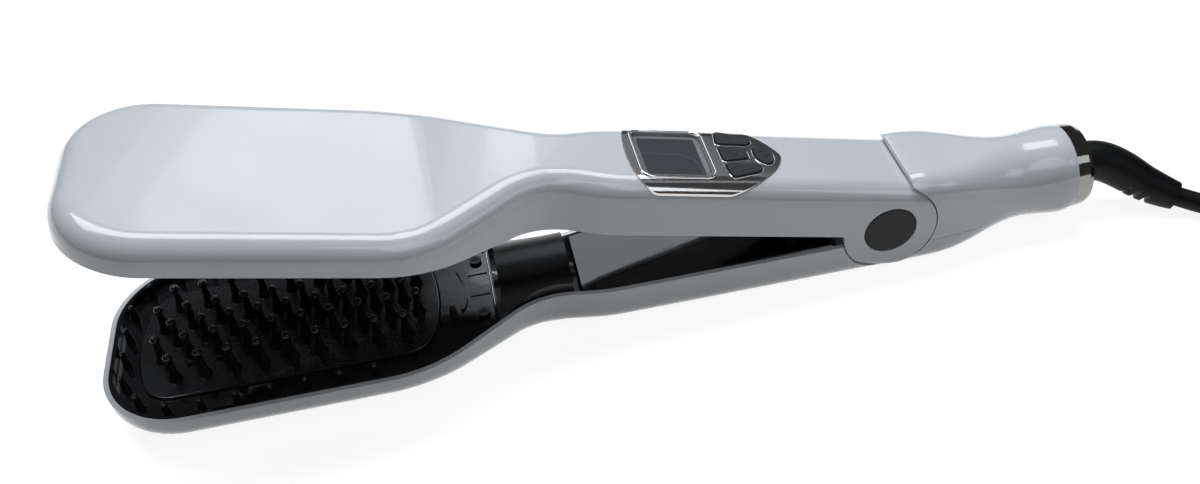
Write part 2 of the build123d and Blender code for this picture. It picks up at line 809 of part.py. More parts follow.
# ---------------------------------------------------------------- hinge
with BuildPart() as hinge_pin:
    with BuildSketch(Plane.XZ.offset(-(half_grip - cap_depth - 0.2))):
        with Locations((hinge_x, hinge_z)):
            Circle(pin_radius)
    extrude(amount=2 * (half_grip - cap_depth - 0.2))
hinge_pin.part.label = "hinge_pin"

spring_half = cheek_inner - 1.2
with BuildPart() as opening_spring:
    with BuildLine() as coil_line:
        Helix(
            pitch=2 * spring_half / spring_turns,
            height=2 * spring_half,
            radius=spring_radius,
            center=(hinge_x, -spring_half, hinge_z),
            direction=(0, 1, 0),
        )
    with BuildSketch(Plane(origin=coil_line.line @ 0, z_dir=coil_line.line % 0)):
        Circle(spring_wire)
    sweep(path=coil_line.line, is_frenet=True)
opening_spring.part.label = "opening_spring"

# ---------------------------------------------------------------- tail: cover, ring, cord entry
with BuildPart() as tail_cover:
    add(tail_outer)
    add(tail_inner, mode=Mode.SUBTRACT)
    add(slab(0, tail_reach, grip_width, -1, parting_height + seam_gap), mode=Mode.SUBTRACT)
    with BuildSketch(Plane.XZ):
        with Locations((hinge_x, hinge_z)):
            Circle(socket_radius)
    extrude(amount=grip_width, both=True, mode=Mode.SUBTRACT)
tail_cover.part.label = "tail_cover"

spigot_outer = tail_radius - tail_wall - 2 * fit_gap
with BuildPart() as end_ring:
    with BuildSketch(Plane.XZ):
        with BuildLine():
            Polyline(
                (ring_x - 3, tail_axis_height + spigot_outer - 1.2),
                (ring_x - 3, tail_axis_height + spigot_outer),
                (ring_x, tail_axis_height + spigot_outer),
                (ring_x, tail_axis_height + tail_radius),
                (tail_x - 2, tail_axis_height + ring_end_radius + 0.3),
                (tail_x - 0.6, tail_axis_height + ring_end_radius - 0.3),
                (tail_x, tail_axis_height + ring_end_radius - 1.2),
                (tail_x, tail_axis_height + relief_radius + fit_gap),
                (tail_x - wall, tail_axis_height + relief_radius + fit_gap),
                (tail_x - wall, tail_axis_height + spigot_outer - 1.2),
                close=True,
            )
        make_face()
    revolve(axis=Axis((0, 0, tail_axis_height), (1, 0, 0)))
end_ring.part.label = "end_ring"

with BuildPart() as terminal_block:
    terminal_low = tail_axis_height - terminal_height / 2
    terminal_end = terminal_back + terminal_length
    add(slab(terminal_back, terminal_end, terminal_half, terminal_low, terminal_low + terminal_height))
    terminal_high = terminal_low + terminal_height
    for across in (-terminal_pitch, 0, terminal_pitch):
        hole = post(terminal_back + 3, across, terminal_hole, terminal_high - 2, terminal_high)
        add(hole, mode=Mode.SUBTRACT)
terminal_block.part.label = "terminal_block"

clamp_high = clamp_low + clamp_thickness
with BuildPart() as cord_clamp:
    add(slab(clamp_back, clamp_back + clamp_length, clamp_across + clamp_post, clamp_low, clamp_high))
    for side in (1, -1):
        hole = post(clamp_middle, side * clamp_across, screw_radius + fit_gap, clamp_low, clamp_high)
        add(hole, mode=Mode.SUBTRACT)
cord_clamp.part.label = "cord_clamp"

with BuildPart() as clamp_screws:
    for side in (1, -1):
        add(screw(clamp_middle, side * clamp_across, clamp_high, -1, clamp_screw_length))
clamp_screws.part.label = "clamp_screws"

with BuildPart() as inner_lead:
    with BuildSketch(Plane.YZ.offset(hinge_x + terminal_back + terminal_length)):
        with Locations((0, tail_axis_height)):
            Circle(cord_diameter / 2)
    extrude(amount=tail_reach - relief_inside - terminal_back - terminal_length)
inner_lead.part.label = "inner_lead"


def upright(plan, low, high):
    """A plan drawn up from one height to another."""
    with BuildPart() as form:
        with BuildSketch(Plane.XY.offset(low)):
            add(plan)
        extrude(amount=high - low)
    return form.part


def bezel_layer(plan, outer_grow, inner_grow):
    """What lies under a plan between two skins that follow the upper grip's rounded top."""
    start = from_tip(bezel_back) - 5
    with BuildPart() as layer:
        add(upright(plan, grip_top - bezel_wrap, grip_top + outer_grow + 1))
        add(grip_bar(outer_grow, start, hinge_x), mode=Mode.INTERSECT)
        add(grip_bar(inner_grow, start - 1, hinge_x + 1), mode=Mode.SUBTRACT)
    return layer.part


# ---------------------------------------------------------------- upper arm, modelled closed
button_names = ("button_plus", "button_minus", "button_mode", "button_power")
upper_cover_high = upper_cover_low + cover_thickness
board_high = switch_high - switch_height
lcd_middle = bezel_back - reach + window_margin + window_length / 2

with BuildPart() as barrel:
    with BuildSketch(Plane.XZ.offset(-ear_inner)):
        with Locations((hinge_x, hinge_z)):
            Circle(barrel_radius)
            Circle(barrel_radius - wall, mode=Mode.SUBTRACT)
        with BuildLine():
            Polyline(
                (hinge_x, hinge_z),
                (hinge_x, hinge_z + 2 * barrel_radius),
                (hinge_x + 2 * barrel_radius, hinge_z + 2 * barrel_radius),
                (hinge_x + 2 * barrel_radius, hinge_z - 2 * barrel_radius * tan(radians(barrel_dip))),
                close=True,
            )
        make_face(mode=Mode.INTERSECT)
    extrude(amount=2 * ear_inner)
    add(disc_pair(barrel_radius, ear_inner, half_grip))
    add(grip_bar(0, hinge_x - reach, hinge_x + barrel_radius), mode=Mode.INTERSECT)

with BuildPart() as hinge_trim:
    with BuildSketch(Plane.XZ):
        with Locations((hinge_x + barrel_radius, hinge_z)):
            Rectangle(2 * barrel_radius, 4 * barrel_radius)
        with Locations((hinge_x, hinge_z)):
            Circle(barrel_radius, mode=Mode.SUBTRACT)
    extrude(amount=head_width, both=True)

with BuildPart() as upper_posts:
    for back in upper_screw_places:
        add(post(back, 0, boss_radius, upper_cover_high, grip_top - wall / 2))
    for back in board_post_places:
        for side in (1, -1):
            add(post(back, side * board_post_across, 1.6, board_high, grip_top - wall / 2))
    add(slab(-spring_rest - 1.2, -spring_rest, cheek_inner - 2, spring_rest_low, grip_top - wall / 2))

with BuildPart() as upper_shell:
    add(upper_form(0))
    add(upper_form(wall), mode=Mode.SUBTRACT)
    add(hinge_trim.part, mode=Mode.SUBTRACT)
    add(barrel.part)
    add(upper_posts.part)
    add(disc_pair(bush_radius + press_gap, ear_inner - 1, half_grip + 1), mode=Mode.SUBTRACT)
    add(disc_pair(cap_radius + fit_gap, half_grip - cap_depth, half_grip + 1), mode=Mode.SUBTRACT)
    add(bezel_layer(bezel_plan(fit_gap), 1, -bezel_depth), mode=Mode.SUBTRACT)
    add(upright(window_plan(-1.5), grip_top - wall - 1, grip_top), mode=Mode.SUBTRACT)
    for name in button_names:
        add(upright(button_plan(name, button_gap), grip_top - bezel_wrap, grip_top), mode=Mode.SUBTRACT)
    for back in upper_screw_places:
        hole = post(back, 0, screw_radius + press_gap, upper_cover_high, upper_cover_high + 6)
        add(hole, mode=Mode.SUBTRACT)
upper_shell.part.label = "upper_shell"

with BuildPart() as upper_liner:
    add(upper_form(wall + fit_gap))
    add(upper_form(wall + fit_gap + liner_thickness), mode=Mode.SUBTRACT)
    add(slab(upper_cover_start - fit_gap, 2 * barrel_radius, head_width, 0, 2 * grip_top), mode=Mode.SUBTRACT)
    add(slab(-reach - 1, 0, head_width, 0, upper_rim + 0.4), mode=Mode.SUBTRACT)
    add(slab(tank_back - reach - 1, 0, head_width, 0, rim_height + tank_crown + 1.5), mode=Mode.SUBTRACT)
upper_liner.part.label = "upper_liner"

with BuildPart() as upper_grip_cover:
    with BuildSketch(Plane.XY.offset(upper_cover_low)):
        add(arm_plan(wall + fit_gap, hinge_x))
        with Locations((hinge_x + (upper_cover_start + cover_end) / 2, 0)):
            Rectangle(cover_end - upper_cover_start, head_width, mode=Mode.INTERSECT)
    extrude(amount=cover_thickness)
    end_wall = slab(upper_cover_start, upper_cover_start + wall, half_grip, upper_cover_low, grip_top)
    add(within(end_wall, upper_form(wall + fit_gap)))
    for back in upper_screw_places:
        seat = upper_cover_low + screw_head_height
        add(post(back, 0, screw_head + fit_gap, upper_cover_low, seat), mode=Mode.SUBTRACT)
        add(post(back, 0, screw_radius + fit_gap, upper_cover_low, upper_cover_high), mode=Mode.SUBTRACT)
upper_grip_cover.part.label = "upper_grip_cover"

with BuildPart() as cover_screws:
    for back in upper_screw_places:
        add(screw(back, 0, upper_cover_low + screw_head_height, 1, 5.5))
cover_screws.part.label = "cover_screws"

with BuildPart() as hinge_bushes:
    add(disc_pair(bush_radius, ear_inner, half_grip - cap_depth))
    add(disc_pair(pin_radius + pin_clearance, ear_inner - 1, half_grip), mode=Mode.SUBTRACT)
hinge_bushes.part.label = "hinge_bushes"

hinge_caps = []
for label, side in (("hinge_cap_near", -1), ("hinge_cap_far", 1)):
    with BuildPart() as hinge_cap:
        with BuildSketch(Plane.XZ.offset(-side * (half_grip - cap_depth))):
            with Locations((hinge_x, hinge_z)):
                Circle(cap_radius)
        extrude(amount=-side * cap_depth)
        face_out = hinge_cap.faces().sort_by(Axis.Y)[-1 if side > 0 else 0]
        chamfer(face_out.edges(), length=0.4)
    hinge_cap.part.label = label
    hinge_caps.append(hinge_cap)

with BuildPart() as display_bezel:
    add(bezel_layer(bezel_plan(0), bezel_proud, -bezel_depth))
    add(upright(window_plan(fit_gap), grip_top - bezel_wrap, grip_top + 2), mode=Mode.SUBTRACT)
    for name in button_names:
        hole = upright(button_plan(name, button_gap), grip_top - bezel_wrap, grip_top + 2)
        add(hole, mode=Mode.SUBTRACT)
display_bezel.part.label = "display_bezel"

with BuildPart() as display_window:
    add(upright(window_plan(0), grip_top - bezel_depth, grip_top + bezel_proud - window_sink))
display_window.part.label = "display_window"

with BuildPart() as lcd_module:
    half = window_width / 2 - 0.5
    add(slab(lcd_middle - 10, lcd_middle + 10, half, board_high, grip_top - wall - fit_gap))
    add(upright(window_plan(-1.7), grip_top - wall - fit_gap, grip_top - bezel_depth - fit_gap))
lcd_module.part.label = "lcd_module"

with BuildPart() as control_board:
    add(slab(board_start, board_end, board_half, board_high - board_thickness, board_high))
    fillet(control_board.edges().filter_by(Axis.Z), radius=1.5)
    board_low = board_high - board_thickness
    add(slab(board_start + 6, board_start + 16, 5, board_low - 2, board_low))  # processor
    add(slab(board_end - 14, board_end - 8, 6, board_low - 3, board_low))  # relay
control_board.part.label = "control_board"

button_centres = {name: button_plan(name, 0).bounding_box().center() for name in button_names}
with BuildPart() as keypad_switches:
    for centre in button_centres.values():
        with BuildSketch(Plane.XY.offset(board_high)):
            with Locations((centre.X, centre.Y)):
                Rectangle(4.6, 3.6)
        extrude(amount=switch_height - 0.6)
        with BuildSketch(Plane.XY.offset(switch_high - 0.6)):
            with Locations((centre.X, centre.Y)):
                Circle(1.2)
        extrude(amount=0.6)
keypad_switches.part.label = "keypad_switches"

buttons = []
for name in button_names:
    top_bar = grip_bar(bezel_proud + button_proud, from_tip(bezel_back), hinge_x)
    flange_bar = grip_bar(-wall - button_rest, from_tip(bezel_back), hinge_x)
    button_low = switch_high + button_travel + button_rest
    with BuildPart() as button:
        add(within(upright(button_plan(name, 0), button_low, grip_top + 2), top_bar))
        flange = upright(button_plan(name, button_gap + 0.25), button_low, grip_top - wall - button_rest)
        add(within(flange, flange_bar))
    button.part.label = name
    buttons.append(button)

# ---------------------------------------------------------------- cord: strain relief, cord, coil and plug
relief_end = (184.3, -12.8, 5.4)
cord_start = (194.0, -19.2, 3.4)
boot_corner = Vector(*relief_end) - 0.79 * (Vector(*cord_start) - Vector(*relief_end))
relief_points = [
    (tail_x - relief_inside, 0, tail_axis_height),
    (tail_x + 7.5, 0, tail_axis_height),
    boot_corner,
    relief_end,
]
with BuildLine(mode=Mode.PRIVATE) as relief_path:
    FilletPolyline(*relief_points, radius=[8.5, 12])
relief_wire = relief_path.wire()
relief_length = relief_wire.length
taper_start = (relief_inside + 3) / relief_length
with BuildPart() as strain_relief:
    for step in range(relief_rings + 1):
        share = taper_start + (1 - taper_start) * step / relief_rings
        radius = relief_radius + (relief_end_radius - relief_radius) * step / relief_rings
        with BuildSketch(Plane(origin=relief_wire @ share, x_dir=(0, 0, 1), z_dir=relief_wire % share)):
            Circle(radius)
    loft(ruled=True)
    with BuildSketch(Plane.YZ.offset(tail_x - relief_inside)):
        with Locations((0, tail_axis_height)):
            Circle(relief_radius)
    extrude(amount=relief_inside + 3)
    with BuildSketch(Plane.YZ.offset(tail_x - wall - 0.1 - 2)):
        with Locations((0, tail_axis_height)):
            Circle(relief_radius + 2.5)
    extrude(amount=2)
strain_relief.part.label = "strain_relief"


def cord_radii(points):
    """The bends' radii: as large as each corner's two runs allow."""
    radii = []
    for before, corner, after in zip(points, points[1:], points[2:]):
        run_in = Vector(*corner) - Vector(*before)
        run_out = Vector(*after) - Vector(*corner)
        half_turn = radians(run_in.get_angle(run_out)) / 2
        radii.append(0.45 * min(run_in.length, run_out.length) / tan(half_turn))
    return radii


def cord_tube(points, radius):
    """A cord along straight runs and the largest tangent arcs."""
    radii = cord_radii(points)
    print("cord radii:", [round(value, 1) for value in radii])
    with BuildLine(mode=Mode.PRIVATE) as route:
        FilletPolyline(*points, radius=radii)
    with BuildPart() as form:
        with BuildSketch(Plane(origin=route.wire() @ 0, z_dir=route.wire() % 0)):
            Circle(radius)
        sweep(path=route.wire())
    print("cord volume over section x length:", form.part.volume / (pi * radius**2 * route.wire().length))
    return form.part


cord_radius = cord_diameter / 2
cord_points = [
    relief_end,
    cord_start,
    (227.9, -42.7, 3.25),
]
lead_points = [(273.5, -45.0, 10.5), (289.0, -34.3, 9.2), (304.0, -27.0, 6.9), (319.0, -27.0, 6.9)]
with BuildPart() as power_cord:
    add(cord_tube(cord_points, cord_radius))
power_cord.part.label = "power_cord"
with BuildPart() as plug_lead:
    add(cord_tube(lead_points, cord_radius))
plug_lead.part.label = "plug_lead"

coil_centre = (250.4, -8.0)
bundle_radius = turn_pitch / (2 * sin(pi / coil_turns)) + cord_radius
coil_middle = bundle_radius + tie_thickness + 0.1
with BuildPart() as cord_coil:
    with BuildSketch(Plane.XZ.offset(-coil_centre[1])):
        with Locations((coil_centre[0] + coil_radius, coil_middle)):
            Circle(bundle_radius)
    revolve(axis=Axis((*coil_centre, 0), (0, 0, 1)))
cord_coil.part.label = "cord_coil"

with BuildPart() as cord_tie:
    with BuildSketch(Plane.YZ.offset(coil_centre[0] - tie_width / 2)):
        with Locations((coil_centre[1] - coil_radius, coil_middle)):
            Circle(bundle_radius + tie_thickness)
            Circle(bundle_radius - 0.2, mode=Mode.SUBTRACT)
    extrude(amount=tie_width)
cord_tie.part.label = "cord_tie"

plug_start, plug_across, plug_height = lead_points[-1]
plug_face = plug_start + plug_length
plug_sections = [
    (plug_start, 9.0, 8.8, 4.3),
    (plug_start + 12, 11.0, 10.6, 4.8),
    (plug_start + 18, 24.0, 13.4, 6.0),
    (plug_face, 35.0, 13.4, 6.0),
]
with BuildPart() as plug_body:
    for back, width, height, corner in plug_sections:
        with BuildSketch(Plane.YZ.offset(back)):
            with Locations((plug_across, plug_height)):
                RectangleRounded(width, height, corner)
    loft(ruled=True)
plug_body.part.label = "plug_body"

with BuildPart() as plug_pins:
    for side in (1, -1):
        with BuildSketch(Plane.YZ.offset(plug_face)):
            with Locations((plug_across + side * pin_spacing / 2, plug_height)):
                Circle(2)
        extrude(amount=pin_length)
    fillet(plug_pins.faces().sort_by(Axis.X)[-2:].edges(), radius=1.2)
plug_pins.part.label = "plug_pins"

# ---------------------------------------------------------------- one file for each piece
fixed_pieces = [
    lower_shell, paddle_deck, heat_pad, bristles, guard_pins, brush_heater, heater_insulation,
    thermal_cutout, grip_cover, deck_screws, tank_dock, pump, boiler, water_tubes, steam_tube,
    tail_cover, end_ring, hinge_pin, opening_spring, terminal_block, cord_clamp, clamp_screws,
    inner_lead, strain_relief, water_tank, tank_stopper, tank_seal,
    power_cord, cord_coil, cord_tie, plug_lead, plug_body, plug_pins,
]
opened_pieces = [
    upper_shell, upper_liner, upper_grip_cover, cover_screws, hinge_bushes, *hinge_caps,
    display_bezel, display_window, lcd_module, control_board, keypad_switches, *buttons,
]
os.makedirs("parts", exist_ok=True)
for piece in fixed_pieces:
    export_step(piece.part, f"parts/{piece.part.label}.step")
for piece in opened_pieces:
    opened = piece.part.rotate(hinge_axis, open_angle)
    opened.label = piece.part.label
    export_step(opened, f"parts/{opened.label}.step")
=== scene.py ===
# %% [markdown]
# This lesson dresses a hinged hair straightener brush. The solid model comes in as a fixed frame that is
# never moved or changed. Here it gets its finishes, its bristles, its cord and its small fittings.

# %% Load the frame
from math import cos, pi, radians, sin

import bmesh
import bpy
from mathutils import Matrix, Vector
from mathutils.bvhtree import BVHTree
from mathutils.geometry import convex_hull_2d


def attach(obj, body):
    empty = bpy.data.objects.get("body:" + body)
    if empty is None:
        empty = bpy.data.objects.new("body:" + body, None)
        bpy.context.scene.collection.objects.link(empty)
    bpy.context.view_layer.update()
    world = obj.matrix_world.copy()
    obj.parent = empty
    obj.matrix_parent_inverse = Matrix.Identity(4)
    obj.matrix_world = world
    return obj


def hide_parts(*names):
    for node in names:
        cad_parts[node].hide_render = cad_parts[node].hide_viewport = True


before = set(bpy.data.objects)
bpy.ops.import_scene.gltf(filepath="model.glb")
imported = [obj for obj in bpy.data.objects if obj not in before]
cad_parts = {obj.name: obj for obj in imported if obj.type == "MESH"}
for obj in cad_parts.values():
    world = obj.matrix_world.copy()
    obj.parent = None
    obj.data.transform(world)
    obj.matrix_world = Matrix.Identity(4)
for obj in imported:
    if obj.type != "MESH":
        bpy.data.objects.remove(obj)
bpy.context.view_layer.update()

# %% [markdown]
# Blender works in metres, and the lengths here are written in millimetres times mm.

mm = 0.001


def in_mm(place):
    """A place in mm, rounded for printing."""
    return [round(v / mm, 1) for v in place]


def placed(name, data):
    """A new object with this data, linked into the scene."""
    made = bpy.data.objects.new(name, data)
    bpy.context.scene.collection.objects.link(made)
    return made


# %% [markdown]
# The camera stands on the near side and looks down along the arms, with a slight tilt. Its place was
# found once by fitting the arms' edges, so it is written as a place, three angles and a lens. The three
# angles become a right, an up and a back direction, and those are the columns of the camera's matrix.

# %% Camera
camera_place = Vector((-36.55, -276.21, 265.38)) * mm
camera_azimuth = -0.123
camera_elevation = 0.722
camera_roll = -0.104
camera_lens = 35.96

back = Vector((
    sin(camera_azimuth) * cos(camera_elevation),
    -cos(camera_azimuth) * cos(camera_elevation),
    sin(camera_elevation),
))
level = Vector((cos(camera_azimuth), sin(camera_azimuth), 0))
upward = back.cross(level)
right = cos(camera_roll) * level + sin(camera_roll) * upward
up = cos(camera_roll) * upward - sin(camera_roll) * level
camera_data = bpy.data.cameras.new("camera")
camera_data.sensor_fit = "HORIZONTAL"
camera_data.sensor_width = 36
camera_data.lens = camera_lens
camera_data.clip_start = 0.01
camera_data.clip_end = 20
camera = placed("camera", camera_data)
camera.matrix_world = Matrix.Translation(camera_place) @ Matrix((right, up, back)).transposed().to_4x4()
bpy.context.scene.camera = camera
print("camera, mm:", in_mm(camera_place))

# %% [markdown]
# The cord is one smooth curve, so it is a single NURBS spline. It leaves the boot, bends down to the
# table and runs into a coil, where it has been wound for storage, and then into the plug. In the coil
# eight strands lie in a ring around the coil's middle line. Each turn moves one place round that ring, so
# the strands stay side by side and never cross.

# %% Cord
cord_diameter = 6.4 * mm
coil_centre = Vector((250.4, -8.0, 0)) * mm
coil_radius = 35.0 * mm
coil_strands = 8
strand_pitch = 6.6 * mm
strand_ring = strand_pitch / (2 * sin(pi / coil_strands))
coil_middle = strand_ring + cord_diameter / 2 + 0.7 * mm
coil_turns = 7
steps_per_turn = 16
coil_steps = coil_turns * steps_per_turn + 3
coil_entry = radians(237)
first_place = radians(-45)

boot_end = Vector((184.3, -12.8, 5.4)) * mm
cord_run = [(194.0, -19.2, 3.4), (205.5, -27.2, 3.25), (217.0, -35.2, 4.2)]
plug_run = [(289.0, -34.3, 9.2), (304.0, -27.0, 6.9), (319.0, -27.0, 6.9)]


def coil_point(step):
    """A point of the coil: the turn's angle, and the strand's place in the ring of strands."""
    turn = coil_entry + 2 * pi * step / steps_per_turn
    place = first_place - 2 * pi * step / steps_per_turn / coil_strands
    radius = coil_radius + strand_ring * cos(place)
    height = coil_middle + strand_ring * sin(place)
    # a spline of order 3 cuts inside its points, and this puts the turns back on their radius
    radius /= (3 + cos(2 * pi / steps_per_turn)) / 4
    return coil_centre + Vector((radius * cos(turn), radius * sin(turn), height))


cord_points = [boot_end] + [Vector(p) * mm for p in cord_run]
cord_points += [coil_point(step) for step in range(coil_steps + 1)]
cord_points += [Vector(p) * mm for p in plug_run]


def add_spline(curve, points):
    """A smooth open spline that runs near its control points."""
    spline = curve.splines.new("NURBS")
    spline.points.add(len(points) - 1)
    for point, place in zip(spline.points, points):
        point.co = (*place, 1)
    spline.order_u = 3
    spline.use_endpoint_u = True


cord_curve = bpy.data.curves.new("mains_cord", "CURVE")
cord_curve.dimensions = "3D"
cord_curve.resolution_u = 6
cord_curve.bevel_depth = cord_diameter / 2
cord_curve.bevel_resolution = 4
cord_curve.use_fill_caps = True
add_spline(cord_curve, cord_points)
mains_cord = placed("mains_cord", cord_curve)


def route(points):
    """The plain line of a spline through these points, read from a curve with no thickness."""
    bare = bpy.data.curves.new("bare", "CURVE")
    bare.dimensions = "3D"
    bare.resolution_u = 12
    add_spline(bare, points)
    holder = bpy.data.objects.new("bare", bare)
    mesh = bpy.data.meshes.new_from_object(holder)
    found = [v.co.copy() for v in mesh.vertices]
    bpy.data.objects.remove(holder)
    bpy.data.curves.remove(bare)
    bpy.data.meshes.remove(mesh)
    return found


cord_line = route(cord_points)

# %% [markdown]
# Shader maths is easier to read as sums than as links. This class wraps one output of a node, so that
# 1 - speck * 0.5 adds its Math nodes by itself. The other class is one finish: a material with its shader,
# and one method that adds any node. Every pattern reads Object coordinates, which are metres here, since
# each piece keeps its object at the origin.

# %% Values that vary, and finishes
class Varied:
    """A number that varies over a surface."""

    def __init__(self, finish, socket):
        self.finish = finish
        self.socket = socket

    def maths(self, operation, first, second=0.0):
        return self.finish.node("ShaderNodeMath", {"operation": operation}, {0: first, 1: second})

    def __add__(self, other):
        return self.maths("ADD", self, other)

    def __rsub__(self, other):
        return self.maths("SUBTRACT", other, self)

    def __mul__(self, other):
        return self.maths("MULTIPLY", self, other)

    def __gt__(self, other):
        return self.maths("GREATER_THAN", self, other)

    def wave(self):
        return self.maths("SINE", self)

    def step(self, low, high):
        """0 below low, 1 above high, and a soft step between."""
        settings = {"interpolation_type": "SMOOTHSTEP"}
        return self.finish.node("ShaderNodeMapRange", settings, {"Value": self, 1: low, 2: high})

    def blend(self, first, second):
        """The first colour where the value is 0, the second where it is 1."""
        settings = {"data_type": "RGBA", "clamp_factor": True}
        return self.finish.node("ShaderNodeMix", settings, {0: self, 6: (*first, 1), 7: (*second, 1)}, 2)


class Finish:
    """One material, its shader, and a method that adds a node."""

    def __init__(self, name, **sockets):
        self.material = bpy.data.materials.new(name)
        self.material.use_nodes = True
        self.tree = self.material.node_tree
        self.shader = self.tree.nodes["Principled BSDF"]
        self.set(**sockets)
        self.place = self.node("ShaderNodeTexCoord", output="Object")

    def node(self, kind, settings=None, sockets=None, output=0):
        added = self.tree.nodes.new(kind)
        for name, value in (settings or {}).items():
            setattr(added, name, value)
        for key, value in (sockets or {}).items():
            self.fill(added.inputs[key], value)
        return Varied(self, added.outputs[output])

    def fill(self, slot, value):
        if isinstance(value, Varied):
            self.tree.links.new(value.socket, slot)
        else:
            slot.default_value = value

    def set(self, **sockets):
        """Sockets of the shader, written with _ for a space: Base_Color, Roughness, Coat_Weight."""
        for name, value in sockets.items():
            if isinstance(value, tuple) and len(value) == 3:
                value = (*value, 1)
            self.fill(self.shader.inputs[name.replace("_", " ")], value)

    def stretched(self, stretch):
        return self.node("ShaderNodeMapping", {}, {"Vector": self.place, "Scale": stretch})

    def noise(self, scale, detail=2.0, stretch=(1, 1, 1)):
        sockets = {"Vector": self.stretched(stretch), "Scale": scale, "Detail": detail}
        return self.node("ShaderNodeTexNoise", {}, sockets)

    def cells(self, scale, stretch=(1, 1, 1)):
        return self.node("ShaderNodeTexVoronoi", {}, {"Vector": self.stretched(stretch), "Scale": scale})

    def along(self, axis):
        return self.node("ShaderNodeSeparateXYZ", {}, {"Vector": self.place}, axis)

    def bump(self, height, distance, strength=1.0):
        sockets = {"Height": height, "Distance": distance, "Strength": strength}
        self.set(Normal=self.node("ShaderNodeBump", {}, sockets))


print("a finish can", [n for n in dir(Finish) if not n.startswith("_")])

# %% [markdown]
# The casing is injection-moulded white plastic with a high polish. Up close, such plastic isn't quite
# flat: it has a very soft ripple, like orange peel, and a faint haze where hands have touched it. The
# colour is kept just under white, so that highlights still show on it. In this recipe and the next ones the
# first number of a noise is its scale, in waves for each metre, and the second is its detail.

# %% White casing
def make_polished_white():
    finish = Finish("polished_white", Coat_Weight=0.5, Coat_Roughness=0.03)
    haze = finish.noise(45, 4)
    finish.set(
        Base_Color=haze.step(0.2, 0.9).blend((0.80, 0.805, 0.815), (0.775, 0.785, 0.795)),
        Roughness=haze.step(0.3, 0.8) * 0.10 + 0.11,
    )
    finish.bump(finish.noise(260, 1) + finish.noise(5200, 1) * 0.02, 0.00006, 0.35)
    return finish.material


polished_white = make_polished_white()
print("finish:", polished_white.name)

# %% [markdown]
# The black covers inside the arms are the same plastic in black, polished, and they show every smear.
# The smears are changes of roughness only. Fine dust is a sparse set of pale specks.

# %% Black covers
def make_polished_black():
    ground = (0.006, 0.006, 0.0075)
    finish = Finish("polished_black", Coat_Weight=0.3, Coat_Roughness=0.03)
    film = finish.noise(60, 5, (0.5, 1, 1))
    speck = (1 - finish.cells(900).step(0.04, 0.10)) * (film > 0.56)
    finish.set(
        Base_Color=speck.blend(ground, (0.07, 0.07, 0.075)),
        Roughness=film.step(0.35, 0.75) * 0.14 + 0.06,
    )
    finish.bump(finish.noise(300, 1), 0.00005, 0.3)
    return finish.material


polished_black = make_polished_black()
print("finish:", polished_black.name)

# %% [markdown]
# Parts that are handled or hidden are plain moulded plastic or rubber with a fine spark-eroded grain. Two
# noises make it: the coarse one moves the colour a little, and the fine one is the grain in the bump.

# %% Moulded plastics and rubbers
def moulded(name, colour, roughness=0.45, grain=0.00003, mottle=0.25, shine=0.5):
    finish = Finish(name, Specular_IOR_Level=shine)
    fine = finish.noise(2600, 3)
    darker = tuple(c * (1 - mottle) for c in colour)
    finish.set(
        Base_Color=finish.noise(120, 3).step(0.25, 0.8).blend(colour, darker),
        Roughness=fine * 0.12 + (roughness - 0.06),
    )
    finish.bump(fine, grain, 0.6)
    return finish.material


satin_black = moulded("satin_black", (0.020, 0.020, 0.022), 0.42)
cap_grey = moulded("cap_grey", (0.016, 0.016, 0.017), 0.5, shine=0.25)
inner_plastic = moulded("inner_plastic", (0.62, 0.62, 0.60), 0.4, mottle=0.1)
button_rubber = moulded("button_rubber", (0.030, 0.032, 0.034), 0.55, 0.00005)
cord_rubber = moulded("cord_rubber", (0.005, 0.005, 0.0055), 0.5, 0.00004, shine=0.18)
bristle_nylon = moulded("bristle_nylon", (0.012, 0.012, 0.013), 0.24)
silicone = moulded("silicone", (0.70, 0.69, 0.66), 0.35, mottle=0.08)
print("finishes:", satin_black.name, cap_grey.name, inner_plastic.name, bristle_nylon.name)

# %% [markdown]
# The tank is satin black too. A sine wave across the arm makes faint lengthwise bands: in the colour they are
# painted shade and highlight, as a top arched across the arm would show them, and in roughness and bump they
# are a fine ripple.

# %% Tank with painted shade bands
def make_black_with_painted_bands():
    finish = Finish("black_with_painted_bands")
    bands_and_painted_sheen = (finish.along("Y") * 900.0).wave() * 0.5 + 0.5
    fine = finish.noise(2200, 2)
    finish.set(
        # the colour bands are painted shade and highlight; roughness and bump use the same bands as a surface
        # ripple
        Base_Color=bands_and_painted_sheen.step(0.1, 0.95).blend((0.010, 0.010, 0.011), (0.022, 0.022, 0.023)),
        Roughness=bands_and_painted_sheen * 0.10 + fine * 0.08 + 0.24,
    )
    finish.bump(bands_and_painted_sheen + fine * 0.3, 0.00005, 0.4)
    return finish.material


black_with_painted_bands = make_black_with_painted_bands()
print("finish:", black_with_painted_bands.name)

# %% [markdown]
# Metals differ mainly in how they were finished. Chrome is a mirror with hairline scratches, and turned
# steel and brass have fine lines. A stretched noise makes the lines, and a slow one dulls some places.

# %% Metals
def metal(name, colour, roughness, scratch=0.10, stretch=(0.2, 1, 1), dull=0.0):
    finish = Finish(name, Metallic=1.0)
    lines = finish.noise(1800, 3, stretch)
    darker = tuple(c * (0.92 - dull) for c in colour)
    finish.set(
        Base_Color=finish.noise(90, 3).step(0.3, 0.8).blend(colour, darker),
        Roughness=lines.step(0.35, 0.8) * scratch + roughness,
    )
    finish.bump(lines, 0.00001, 0.4)
    return finish.material


